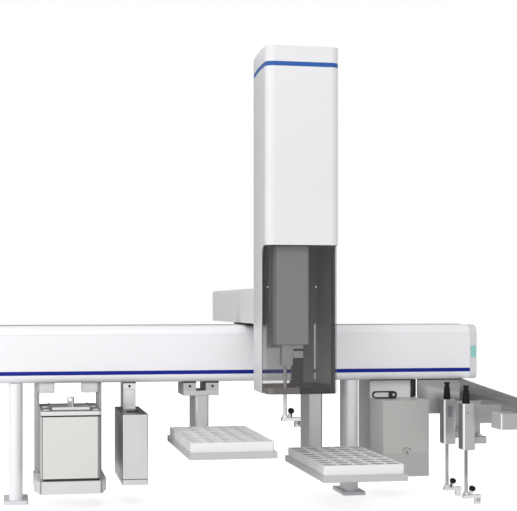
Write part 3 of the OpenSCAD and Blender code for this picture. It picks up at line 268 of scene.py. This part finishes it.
def mixed(mask, low, high):
    """Colour low where the mask is 0 and high where it is 1."""
    return mask.node("ShaderNodeMix", {"data_type": "RGBA"}, {0: mask, 6: low, 7: high}, 2)


def relief(height, shader, strength, depth):
    bump = {"Height": height, "Strength": strength, "Distance": depth * mm}
    height.node("ShaderNodeBump", {}, bump).into(shader, "Normal")


def coated(name, colour, roughness=0.4, paint=None, shine=0.5):
    """Powder coat: a slow drift of tone, a fine orange peel and a sheen that is never quite even."""
    made, shader, place = new_finish(name, {"Specular IOR Level": shine})
    tone = mixed(noise(place, 6), shade(colour, 0.97), shade(colour, 1.02))
    (paint(place, tone) if paint else tone).into(shader, "Base Color")
    (roughness - 0.07 + noise(place, 45) * 0.14).into(shader, "Roughness")
    relief(noise(place, 1400, detail=2), shader, 0.06, 0.2)
    return made


beam_coat = coated("beam_coat", (0.9, 0.9, 0.925))
eased("beam_extrusion", beam_coat, 0.5)
eased("beam_top_cover", beam_coat, 0.6)


# Stripe. A strip of coloured plastic pressed into a groove low on the beam's front, flush with it.
# It is rather dull and has the same fine orange peel as the coated pieces.
stripe_gloss = coated("stripe_gloss", (0.004, 0.016, 0.26), 0.5, shine=0.2)
eased("beam_stripe", stripe_gloss, 0.15)


# End caps. Two mouldings in a slightly greyer white that close the beam, fixed with four screws each.
# The right one holds a small teal lens with the status lamp behind it.
def moulded(name, colour, roughness=0.5, paint=None):
    """Moulded plastic with the fine spark-eroded grain of its tool."""
    made, shader, place = new_finish(name, {"Specular IOR Level": 0.4})
    tone = mixed(noise(place, 9), shade(colour, 0.97), shade(colour, 1.02))
    (paint(place, tone) if paint else tone).into(shader, "Base Color")
    (roughness - 0.06 + noise(place, 60) * 0.12).into(shader, "Roughness")
    relief(noise(place, 1900, detail=1), shader, 0.1, 0.12)
    return made


def screw_tree():
    """Geometry nodes for a socket screw on each point of a mesh."""
    tree = bpy.data.node_groups.new("socket_screws", "GeometryNodeTree")
    plugs = {"Points": "NodeSocketGeometry", "Head radius": "NodeSocketFloat",
             "Head height": "NodeSocketFloat", "Socket radius": "NodeSocketFloat",
             "Facing": "NodeSocketVector", "Finish": "NodeSocketMaterial"}
    for plug, kind in plugs.items():
        tree.interface.new_socket(plug, in_out="INPUT", socket_type=kind)
    tree.interface.new_socket("Screws", in_out="OUTPUT", socket_type="NodeSocketGeometry")
    given = tree.nodes.new("NodeGroupInput").outputs

    def add(kind, links, **settings):
        made = tree.nodes.new(kind)
        for key, value in settings.items():
            setattr(made, key, value)
        for key, value in links.items():
            if isinstance(value, bpy.types.NodeSocket):
                tree.links.new(value, made.inputs[key])
            else:
                made.inputs[key].default_value = value
        return made.outputs[0]

    head = add("GeometryNodeMeshCylinder", {"Vertices": 24, "Radius": given["Head radius"],
                                            "Depth": given["Head height"]})
    lifted = add("ShaderNodeCombineXYZ", {"Z": given["Head height"]})
    hexagon = add("GeometryNodeMeshCylinder", {"Vertices": 6, "Radius": given["Socket radius"],
                                               "Depth": given["Head height"]})
    raised = add("GeometryNodeTransform", {"Geometry": hexagon, "Translation": add(
        "ShaderNodeVectorMath", {0: lifted, 1: (0.5, 0.5, 0.5)}, operation="MULTIPLY")})
    drilled = add("GeometryNodeMeshBoolean", {0: head, 1: raised}, operation="DIFFERENCE")
    turned = add("FunctionNodeAlignRotationToVector", {"Vector": given["Facing"]}, axis="Z")
    placed = add("GeometryNodeInstanceOnPoints", {"Points": given["Points"], "Instance": drilled,
                                                  "Rotation": turned})
    real = add("GeometryNodeRealizeInstances", {"Geometry": placed})
    done = add("GeometryNodeSetMaterial", {"Geometry": real, "Material": given["Finish"]})
    tree.links.new(done, tree.nodes.new("NodeGroupOutput").inputs[0])
    return tree


socket_screws = screw_tree()


def screws(name, body, slot, points, facing, head_d, head_h, finish):
    """One piece with a socket screw at each point, its head standing head_h out of the face there."""
    facing = Vector(facing)
    seeds = bpy.data.meshes.new("seeds")
    seeds.from_pydata([point + facing * head_h * mm / 2 for point in points], [], [])
    carrier = show("seeds", seeds)
    modifier = carrier.modifiers.new("screws", "NODES")
    modifier.node_group = socket_screws
    socket_share = 0.26
    values = {"Head radius": head_d * mm / 2, "Head height": head_h * mm,
              "Socket radius": head_d * mm * socket_share, "Facing": facing, "Finish": finish}
    for item in socket_screws.interface.items_tree:
        if item.in_out == "INPUT" and item.name in values:
            modifier[item.identifier] = values[item.name]
    graph = bpy.context.evaluated_depsgraph_get()
    mesh = bpy.data.meshes.new_from_object(carrier.evaluated_get(graph), depsgraph=graph)
    bpy.data.objects.remove(carrier)
    mesh.name = name
    smooth(mesh, finish, 40)
    settled(show(name, mesh), body, slot)


cap_white = moulded("cap_white", (0.7, 0.7, 0.715))
black_oxide = moulded("black_oxide", (0.012, 0.012, 0.013), 0.42)
eased("end_caps", cap_white, 1.2)
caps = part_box("end_caps")
cap_screw_d, cap_screw_h, cap_screw_sunk = 7, 0.28, 0.3
cap_screw_ys, cap_screw_zs = (20, 92), (222, 280)
for side, side_name, x in ((-1, "left", caps[0].x), (1, "right", caps[1].x)):
    corners = [Vector((x - side * cap_screw_sunk * mm, beam_front + y * mm, z * mm))
               for y in cap_screw_ys for z in cap_screw_zs]
    screws(f"cap_screws_{side_name}", "frame", "motor_dark", corners, (side, 0, 0),
           cap_screw_d, cap_screw_h, black_oxide)
lens, lens_shader, lens_place = new_finish("teal_lens", {"Roughness": 0.2, "Coat Weight": 0.5,
                                                         "Emission Strength": 0.12})
mixed(noise(lens_place, 90), (0.17, 0.46, 0.44, 1), (0.26, 0.55, 0.53, 1)).into(lens_shader, "Base Color")
lens_shader.inputs["Emission Color"].default_value = (0.25, 0.7, 0.66, 1)
eased("status_light", lens, 0.3)


# Drive in the beam. Ground guide rail, toothed belt, motor with its brackets, two turned pulleys and
# the supply box, all bolted to the beam's floor. Two rubber wipers line the slot above them.
def inner(node, finish):
    """A CAD node that stays as it is, inside a cover, and only takes its finish."""
    mesh = frame["nodes"][node].data
    mesh.materials.clear()
    mesh.materials.append(finish)


def brushed(name, colour, axis, roughness=0.34, metal=1.0, paint=None):
    """Metal brushed along one axis: long streaks in tone, sheen and relief."""
    made, shader, place = new_finish(name, {"Metallic": metal})
    stretch = [1, 1, 1]
    stretch[axis] = 0.02
    streak = noise(place, 420, stretch) * 0.6 + noise(place, 1700, stretch) * 0.4
    tone = mixed(streak, shade(colour, 0.86), shade(colour, 1.1))
    (paint(place, tone) if paint else tone).into(shader, "Base Color")
    (roughness - 0.1 + streak * 0.2).into(shader, "Roughness")
    relief(streak, shader, 0.08, 0.1)
    return made


def bars(name, body, slot, blocks, finish, edge=0.4):
    """One piece made of small blocks with broken edges, each from its low to its high corner."""
    shape = bmesh.new()
    for low, high in blocks:
        low, high = spot(*low), spot(*high)
        made = bmesh.ops.create_cube(shape, size=1)["verts"]
        for v in made:
            v.co = Vector(high[i] if v.co[i] > 0 else low[i] for i in range(3))
    bmesh.ops.bevel(shape, geom=shape.edges[:], offset=edge * mm, offset_type="OFFSET", segments=2,
                    profile=0.5, affect="EDGES", clamp_overlap=True)
    mesh = bpy.data.meshes.new(name)
    shape.to_mesh(mesh)
    shape.free()
    smooth(mesh, finish)
    settled(show(name, mesh), body, slot)


rail_steel = brushed("rail_steel", (0.55, 0.56, 0.58), 0, 0.25)
motor_paint = coated("motor_paint", (0.03, 0.03, 0.033), 0.45)
inner("x_guide_rail", rail_steel)
belt_rubber = moulded("belt_rubber", (0.02, 0.02, 0.02), 0.7)
inner("x_belt", belt_rubber)
inner("x_motor", motor_paint)
inner("power_unit", brushed("zinc_plate", (0.42, 0.42, 0.43), 2, 0.4))
pulley_alloy = brushed("pulley_alloy", (0.62, 0.62, 0.64), 1, 0.3)
inner("x_drive_pulley", pulley_alloy)
inner("x_idler_pulley", pulley_alloy)
beam_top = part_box("beam_top_cover")[1].z / mm
wiper_half, wiper_w = 411, 7.8
wiper_bottom, wiper_top = beam_top - 0.3, beam_top + 0.42
wipers = [((-wiper_half, y, wiper_bottom), (wiper_half, y + wiper_w, wiper_top)) for y in (38, 66.2)]
bars("slot_wipers", "frame", "belt_rubber", wipers, belt_rubber, 0.1)


# Legs. Two oblong steel columns under the beam with a satin finish, each welded to a flat foot plate
# that has two holes for screws into the bench.
leg_satin = brushed("leg_satin", (0.86, 0.86, 0.885), 2, 0.5, 0.15)
eased("legs", leg_satin, 0.3)
eased("foot_plates", brushed("foot_satin", (0.7, 0.7, 0.73), 0, 0.5, 0.3), 0.6)


# Agitator. A coated box with rounded corners on a plinth, hung from the beam by two side plates and
# clamp blocks. The gaps that part the base, the box and the machined top with its sliding shutter are
# painted black as painted shade.
agitator_x = -295
# Black painted into the recessed gaps as painted shade.
shadow_black = (0.01, 0.01, 0.01, 1)


def along(place, axis):
    """The place along one axis, in metres."""
    return place.node("ShaderNodeSeparateXYZ", {}, {"Vector": place}, axis)


def band(value, low, high):
    """1 where the value lies between low and high, else 0."""
    return (value > low) * (value < high)


def off_middle(place):
    """Distance from the agitator's middle plane, to either side."""
    shift = along(place, "X") - agitator_x * mm
    return shift.sum("ABSOLUTE", shift, 0)


def agitator_top_paint(place, tone):
    """A dark upper face, and the gap under the plate painted black as painted shade."""
    upper_face, gap_top = 161.9 * mm, 155.4 * mm
    height = along(place, "Z")
    lid = mixed(height > upper_face, tone, (0.11, 0.11, 0.115, 1))
    return mixed(height < gap_top, lid, shadow_black)


def agitator_box_corner_shade(place, tone):
    """Painted shade where the coat turns round the corners: a thin line and a dark side at the left, a
    darker right corner.
    """
    line, side, right_shade_from = 44.6 * mm, 45.6 * mm, (agitator_x + 41.8) * mm
    away = off_middle(place)
    left = mixed(away > side, (0.1, 0.1, 0.1, 1), (0.5, 0.5, 0.5, 1))
    left_corner_shaded = mixed(away > line, tone, left)
    return mixed(along(place, "X") > right_shade_from, left_corner_shaded, (0.27, 0.27, 0.27, 1))


def agitator_base_paint(place, tone):
    """Painted shade on the turning front corners, and the gap over the plinth painted black as painted
    shade.
    """
    corner_front, gap_bottom = beam_front - 99 * mm, 50.1 * mm
    turn = band(off_middle(place), 46.6 * mm, 49.6 * mm) * (along(place, "Y") < corner_front)
    shaded = mixed(turn, tone, (0.3, 0.3, 0.3, 1))
    return mixed(along(place, "Z") > gap_bottom, shaded, shadow_black)


def agitator_bracket_paint(place, tone):
    """Speckled clamp blocks between the two plain side plates."""
    block_bottom, block_half = 183.4 * mm, 48 * mm
    speckle = noise(place, 700, detail=2)
    block = mixed(speckle, (0.42, 0.42, 0.42, 1), (0.86, 0.86, 0.86, 1))
    return mixed((along(place, "Z") > block_bottom) * (off_middle(place) < block_half), tone, block)


upright_grey = brushed("upright_grey", (0.41, 0.41, 0.41), 2, 0.45, 0.4, agitator_bracket_paint)
eased("agitator_bracket", upright_grey, 0.6)
eased("agitator_base", coated("agitator_base_coat", (0.7, 0.69, 0.68), 0.42, agitator_base_paint), 0.8)
eased("agitator_housing", coated("agitator_box_coat", (0.7, 0.69, 0.67), 0.5, agitator_box_corner_shade), 0.4)
eased("agitator_top_plate", coated("agitator_top_coat", (0.74, 0.74, 0.73), 0.4, agitator_top_paint), 0.5)
shutter_metal = brushed("shutter_metal", (0.55, 0.55, 0.55), 1, 0.22)
eased("agitator_shutter", shutter_metal, 0.5)
inner("agitator_block", brushed("block_alloy", (0.55, 0.55, 0.56), 2, 0.35))
pad_pale = moulded("pad_pale", (0.72, 0.72, 0.71))
pad_bottom, pad_top = 162.4, 163.6
pads = [((x - 5, y - 7, pad_bottom), (x + 5, y + 7, pad_top))
        for x in (agitator_x - 39, agitator_x + 39) for y in (-88, -20)]
bars("agitator_pads", "frame", "agitator_panel", pads, pad_pale)


# Heater. A slim satin box with a heated well in its dark top, hung on a post with a sunk panel. One
# black screw holds the post to the beam's underside, and a thin black strip at the joint is painted shade.
def heater_paint(place, tone):
    """A dark top, and a seam near the foot."""
    top_face, seam_low, seam_high = 154.2 * mm, 48.9 * mm, 50.1 * mm
    height = along(place, "Z")
    top = mixed(height > top_face, tone, (0.07, 0.07, 0.075, 1))
    return mixed(band(height, seam_low, seam_high), top, (0.03, 0.03, 0.03, 1))


eased("heater_housing", brushed("heater_satin", (0.54, 0.535, 0.53), 2, 0.36, 0.85, heater_paint), 0.5)
post_satin = brushed("post_satin", (0.68, 0.67, 0.66), 2, 0.36, 0.8)
eased("heater_bracket", post_satin, 0.5)
hanging_screw_d, hanging_screw_h = 4.6, 0.8
screws("heater_screw", "frame", "motor_dark", [spot(-191.7, 14, 193.6)], (0, -1, 0),
       hanging_screw_d, hanging_screw_h, black_oxide)
# Black for thin strips and plates that are painted shade in joints and holes.
painted_shade_black = moulded("painted_shade_black", (0.012, 0.012, 0.012), 0.6)
# A thin black strip under the beam at the post's top: painted shade.
bars("heater_shade_strip", "frame", "motor_dark", [((-202.4, 13.8, 198.8), (-181, 74.2, 200.4))], painted_shade_black, 0.1)


# Trays. Two moulded trays, each on a square post with a crossbar and two clamp blocks under the beam,
# darker than the post, with black socket screws and a thin black strip of painted shade at the joint.
# Three white racks stand in each.
hanger_x = (-69.5, 131.5)


def hanger_paint(place, tone):
    clamp_bottom = 185 * mm
    return mixed(along(place, "Z") > clamp_bottom, tone, (0.47, 0.465, 0.46, 1))


eased("tray_hangers", brushed("hanger_satin", (0.56, 0.55, 0.54), 2, 0.4, 0.45, hanger_paint), 0.5)
clamp_xs = [x + side * 19.5 for x in hanger_x for side in (-1, 1)]
screws("clamp_screws", "frame", "motor_dark", [spot(x, 8, 192.8) for x in clamp_xs], (0, -1, 0),
       hanging_screw_d, hanging_screw_h, black_oxide)
strip_half = 11.2
# Thin black strips over the clamp blocks, under the beam: painted shade.
clamp_shade_strips = [((x - strip_half, 7.8, 198.3), (x + strip_half, 84.2, 200.5)) for x in clamp_xs]
bars("clamp_shade_strips", "frame", "motor_dark", clamp_shade_strips, painted_shade_black, 0.1)
eased("tray_plates", moulded("tray_grey", (0.53, 0.525, 0.53), 0.45), 0.5)


def rack_white(side, depth):
    """White plastic: fine ribs along its ends drawn as painted shade in their grooves, and pockets painted
    darker for the shade they lie in.
    """
    low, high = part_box(f"{side}_racks")
    wall, lip = 1.6 * mm, 0.7 * mm
    rib_pitch, rib_gap = 4.2 * mm, 0.3

    def pockets(place, tone):
        across, height = along(place, "X"), along(place, "Z")
        between = band(across, low.x + wall, high.x - wall)
        inside = between * band(along(place, "Y"), low.y + wall, high.y - wall) * (height < high.z - lip)
        rib = (height - low.z) * (1 / rib_pitch)
        groove = (1 - between) * (rib.sum("FRACT", rib, 0) < rib_gap)
        ribbed = mixed(groove, tone, (0.6, 0.6, 0.6, 1))
        return mixed(inside, ribbed, (depth, depth, depth, 1))

    return moulded(f"{side}_rack_white", (0.86, 0.86, 0.86), 0.5, pockets)


eased("left_racks", rack_white("left", 0.66), 0.4)
eased("right_racks", rack_white("right", 0.42), 0.4)


# Conditioner. A satin grey box on a pale folded bracket, with a black lever loop on top, a printed arc
# over its flow adjuster and a black guide bar screwed to the bracket.
conditioner_left = 235.1
conditioner_grey = (0.5, 0.492, 0.478)
adjuster_x, adjuster_z = 276.4, 80


def dial_mesh(x, z, radius, ink):
    """The printed arc over the adjuster, as thin raised ink."""
    shape = bmesh.new()
    face, back = -60.25, -59.95
    start, sweep, steps = 168, 156, 18
    rings = []
    for k in range(steps + 1):
        turn = radians(start - sweep * k / steps)
        corners = ((radius, face), (radius + ink, face), (radius + ink, back), (radius, back))
        rings.append([shape.verts.new(spot(x + r * cos(turn), y, z + r * sin(turn))) for r, y in corners])
    for one, two in zip(rings, rings[1:]):
        for k in range(4):
            shape.faces.new((one[k], one[k - 1], two[k - 1], two[k]))
    for ring in (rings[0], rings[-1]):
        shape.faces.new(ring)
    bmesh.ops.recalc_face_normals(shape, faces=shape.faces)
    mesh = bpy.data.meshes.new("dial_marks")
    shape.to_mesh(mesh)
    shape.free()
    return mesh


def conditioner_paint(place, tone):
    """A seam with a darker foot below it, and the left side painted paler as painted light."""
    seam_low, seam_high = 76.6 * mm, 77.2 * mm
    height = along(place, "Z")
    lower = mixed(height < seam_low, tone, (0.455, 0.45, 0.44, 1))
    seamed = mixed(band(height, seam_low, seam_high), lower, (0.36, 0.36, 0.35, 1))
    return mixed(along(place, "X") < conditioner_left * mm, seamed, (0.66, 0.66, 0.66, 1))


def bracket_left_shade(place, tone):
    # The bracket's left side painted darker as painted shade.
    return mixed(along(place, "X") < conditioner_left * mm, tone, (0.6, 0.6, 0.59, 1))


def adjuster_paint(place, tone):
    """A black socket in the adjuster's middle."""
    socket_r = 1.4 * mm
    aside, height = along(place, "X") - adjuster_x * mm, along(place, "Z") - adjuster_z * mm
    near = aside * aside + height * height
    return mixed(near < socket_r ** 2, tone, (0.02, 0.02, 0.02, 1))


eased("conditioner_bracket", coated("bracket_pale", (0.8, 0.8, 0.79), 0.45, bracket_left_shade), 0.5)
eased("conditioner_housing", coated("conditioner_satin", conditioner_grey, 0.42, conditioner_paint), 0.6)
lever_black = moulded("lever_black", (0.014, 0.014, 0.014), 0.4)
eased("conditioner_lever", lever_black, 0.5)
eased("flow_adjuster", coated("adjuster_grey", conditioner_grey, 0.42, adjuster_paint), 0.3)
dial_radius, dial_ink = 6.9, 0.8
marks = dial_mesh(adjuster_x, adjuster_z, dial_radius, dial_ink)
smooth(marks, black_oxide, 30)
settled(show("dial_marks", marks), "frame", "lever_black")
bars("guide_bar", "frame", "lever_black", [((309.4, 22, 168.3), (318.9, 25.2, 199.8))], lever_black, 0.6)
# A thin black strip along the bracket's top, under the beam: painted shade.
bars("bracket_shade_strip", "frame", "motor_dark", [((234.5, 24.8, 197.9), (316.7, 26, 199.9))], painted_shade_black, 0.1)


# Park station. A bent sheet arm, brushed along its length, that carries two spring clips and the wash
# block at its tip. The sheet is screwed flat to the beam's underside edge.
tool_rows = (-105, -198)


def park_paint(place, tone):
    """Strong brush marks on the sheet's long side."""
    long_side = 397 * mm
    side = mixed(noise(place, 260, (1, 0.02, 1)), (0.34, 0.34, 0.34, 1), (0.74, 0.74, 0.74, 1))
    return mixed(along(place, "X") > long_side, tone, side)


def clip_paint(place, tone):
    """The wash block's left side painted paler as painted light, and a painted highlight on the edge
    beside it.
    """
    wash_rear, highlight_left, highlight_right = beam_front - 229 * mm, 362.8 * mm, 364.3 * mm
    across, wash = along(place, "X"), along(place, "Y") < wash_rear
    side = mixed(wash * (across < highlight_left), tone, (0.62, 0.61, 0.6, 1))
    return mixed(wash * band(across, highlight_left, highlight_right), side, (0.8, 0.8, 0.8, 1))


eased("park_arm", brushed("park_sheet", (0.37, 0.37, 0.37), 1, 0.34, paint=park_paint), 0.4)
eased("park_clips", brushed("clip_metal", (0.39, 0.385, 0.38), 2, 0.4, 0.3, clip_paint), 0.4)
# A thin black strip along the sheet's top, under the beam: painted shade.
bars("park_shade_strip", "frame", "motor_dark", [((319.2, 13.8, 198.6), (397.4, 15, 200.5))], painted_shade_black, 0.1)
# Thin black plates on top of the clip feet: painted shade where their holes lie.
foot_hole_shades = [((358.7, y - 5.6, 118.6), (365.2, y + 6, 119.4)) for y in tool_rows]
bars("foot_hole_shades", "frame", "motor_dark", foot_hole_shades, painted_shade_black, 0.1)


# Parked tools. Machined bodies with a round guide rod, a black turned grip on the plunger, a forked
# guide that slides on the rod and a small ribbed clamp knob.
def tool_paint(place, tone):
    """The front: a painted highlight near its left edge, painted shade on the strip left of it and on the
    left side, and a small dark window.
    """
    side_face, highlight_left, highlight_right = 323.2 * mm, 324.7 * mm, 326.3 * mm
    across, height = along(place, "X"), along(place, "Z")
    rear, front = [band(along(place, "Y"), beam_front + (y - 11.2) * mm, beam_front + (y - 10.4) * mm)
                   for y in tool_rows]
    side = mixed(across < side_face, tone, (0.2, 0.2, 0.21, 1))
    edge_shade = mixed((rear + front) * (across < highlight_left), side, (0.3, 0.3, 0.31, 1))
    edge_highlight = mixed((rear + front) * band(across, highlight_left, highlight_right), edge_shade, (0.95, 0.95, 0.95, 1))
    window = (rear * band(across, 330.4 * mm, 338 * mm) * band(height, 144 * mm, 163 * mm)
              + front * band(across, 328.6 * mm, 333 * mm) * band(height, 157 * mm, 160 * mm))
    return mixed(window, edge_highlight, (0.26, 0.26, 0.28, 1))


tool_silver = brushed("tool_silver", (0.4, 0.4, 0.415), 2, 0.32, 0.6, tool_paint)
grip_black = coated("grip_black", (0.008, 0.0075, 0.0075), 0.5, shine=0.12)
guide_pale = brushed("guide_pale", (0.6, 0.6, 0.61), 0, 0.36)
knob_black = coated("knob_black", (0.008, 0.008, 0.008), 0.5, shine=0.12)
for n in (1, 2):
    eased(f"tool_{n}_body", tool_silver, 0.5)
    eased(f"tool_{n}_plunger", grip_black, 0.5)
    eased(f"tool_{n}_guide", guide_pale, 0.3)
    eased(f"tool_{n}_knob", knob_black, 0.25)


# Carriage and arm. A black anodised carriage runs in the beam's slot. On it slides the arm: an alloy
# plate with bulkheads, rail, screw and motor under a folded cover in satin silver coat.
arm_front, arm_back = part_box("arm_cover")
arm_coat = coated("arm_coat", (0.84, 0.84, 0.85), 0.42)
frame_alloy = brushed("frame_alloy", (0.6, 0.6, 0.61), 1, 0.4)
eased("x_carriage", coated("carriage_black", (0.012, 0.012, 0.013), 0.5), 0.4)
eased("arm_cover", arm_coat, 0.6)
inner("arm_frame", frame_alloy)
inner("y_guide_rail", rail_steel)
inner("y_motor", motor_paint)
inner("y_lead_screw", rail_steel)
rear_inset = 0.012
rear_screw_d, rear_screw_h = 6, 0.4
rear_corners = [Vector((x, arm_back.y - rear_screw_h * mm, z))
                for x in (arm_front.x + rear_inset, arm_back.x - rear_inset)
                for z in (arm_front.z + rear_inset, arm_back.z - rear_inset)]
screws("arm_rear_screws", "arm", "motor_dark", rear_corners, (0, 1, 0), rear_screw_d, rear_screw_h,
       black_oxide)


# Head. A tall moulded shell over an alloy spine that stands on the arm. A blue band is let into the
# shell near its top, and a smoked hood with a rim below closes the lower front.
def spine_paint(place, tone):
    """A brown-grey strip below; above it a black band of painted shade, a pale band of painted highlight
    and the paler rear edge.
    """
    strip_top, shade_band_right, highlight_left, highlight_right = 300 * mm, 24 * mm, 25 * mm, 28.5 * mm
    rear_edge = beam_front - 96.6 * mm
    across, high = along(place, "X"), along(place, "Z") > strip_top
    front = mixed(high, (0.34, 0.32, 0.31, 1), tone)
    gap = mixed(high * (across < shade_band_right), front, (0.012, 0.012, 0.012, 1))
    edge = mixed(high * band(across, highlight_left, highlight_right), gap, (0.75, 0.74, 0.73, 1))
    return mixed(high * (along(place, "Y") > rear_edge), edge, (0.5, 0.5, 0.51, 1))


def rim_paint(place, tone):
    """The rim's right half lies in the dark under the hood's wall."""
    dark_from = 52 * mm
    return mixed(along(place, "X") > dark_from, tone, (0.035, 0.032, 0.032, 1))


eased("head_frame", coated("spine_grey", (0.3, 0.295, 0.285), 0.5, spine_paint), 0.4)
shell_middle, shell_half, shell_arc, shell_bulge = 56.2, 58.8, 980, -197


def shell_paint(place, tone):
    """White outside, with painted shade on the inner faces behind the two front corners."""
    shell_wall, front_limit, roof = 1.25, -8 * mm, 731.5 * mm
    back = along(place, "Y") - (beam_front + shell_bulge * mm)
    inside = (back > front_limit) * (along(place, "Z") < roof)
    for side in (-1, 1):
        aside = along(place, "X") - (shell_middle + side * (shell_half - shell_arc)) * mm
        inside = inside * (aside * aside + back * back < ((shell_arc - shell_wall) * mm) ** 2)
    return mixed(inside, tone, (0.4, 0.395, 0.39, 1))


eased("head_cover", moulded("head_white", (0.76, 0.76, 0.78), 0.34, shell_paint), 1.5)
eased("head_band", coated("band_blue", (0.021, 0.095, 0.35), 0.45, shine=0.25), 0.15)
eased("head_base", moulded("rim_smoked", (0.3, 0.28, 0.27), 0.5, rim_paint), 0.4)
hood_finish, hood_shader, hood_place = new_finish("smoked_clear", {"Roughness": 0.1})
smoke_dark, smoke_light = (0.068, 0.065, 0.063, 1), (0.084, 0.08, 0.077, 1)
mixed(noise(hood_place, 5), smoke_dark, smoke_light).into(hood_shader, "Base Color")
hood_smoke, side_smoke = 0.27, 0.6
hood_side = (along(hood_place, "X") > 106 * mm) * (along(hood_place, "Y") > beam_front - 206 * mm)
(hood_smoke + side_smoke * hood_side).into(hood_shader, "Alpha")
eased("hood", hood_finish, 0.4)
for name, point, facing in (
    ("hood_screw_front", spot(77.1, -226.6, 360), (0, -1, 0)),
    ("hood_screw_corner", spot(1.6, -221.8, 359.8), (-0.78, -0.62, 0)),
):
    screws(name, "arm", "rail_steel", [point], facing, 2.4, 0.5, rail_steel)
inner("z_guide_rail", rail_steel)
inner("z_motor", motor_paint)
inner("z_lead_screw", rail_steel)


# Tool carriage and tool in use. An alloy plate on the spine's rail carries a grey moulded cover and
# the machined tool: holder, glass syringe with its plunger, guide rod, forked guide and knob.
eased("z_carriage", frame_alloy, 0.4)
eased("carriage_cover", moulded("cover_grey", (0.56, 0.555, 0.545), 0.5), 0.5)


def holder_paint(place, tone):
    """The dark syringe holder under the pale block, with a shadow line between them."""
    holder_left, holder_top, line_low, line_high = 44.4 * mm, 249 * mm, 259.5 * mm, 263.5 * mm
    height, right = along(place, "Z"), along(place, "X") > holder_left
    dark = right * (height < holder_top) + right * band(height, line_low, line_high)
    return mixed(dark, tone, (0.035, 0.034, 0.03, 1))


eased("tool_body", brushed("holder_silver", (0.62, 0.62, 0.63), 2, 0.4, 0.3, holder_paint), 0.4)
glass, glass_shader, glass_place = new_finish("syringe_glass", {"Roughness": 0.05, "Alpha": 0.4})
mixed(noise(glass_place, 30), (0.75, 0.8, 0.82, 1), (0.8, 0.85, 0.87, 1)).into(glass_shader, "Base Color")
inner("syringe", glass)
eased("plunger", rail_steel, 0.3)
eased("needle_guide", guide_pale, 0.3)
eased("guide_knob", knob_black, 0.25)
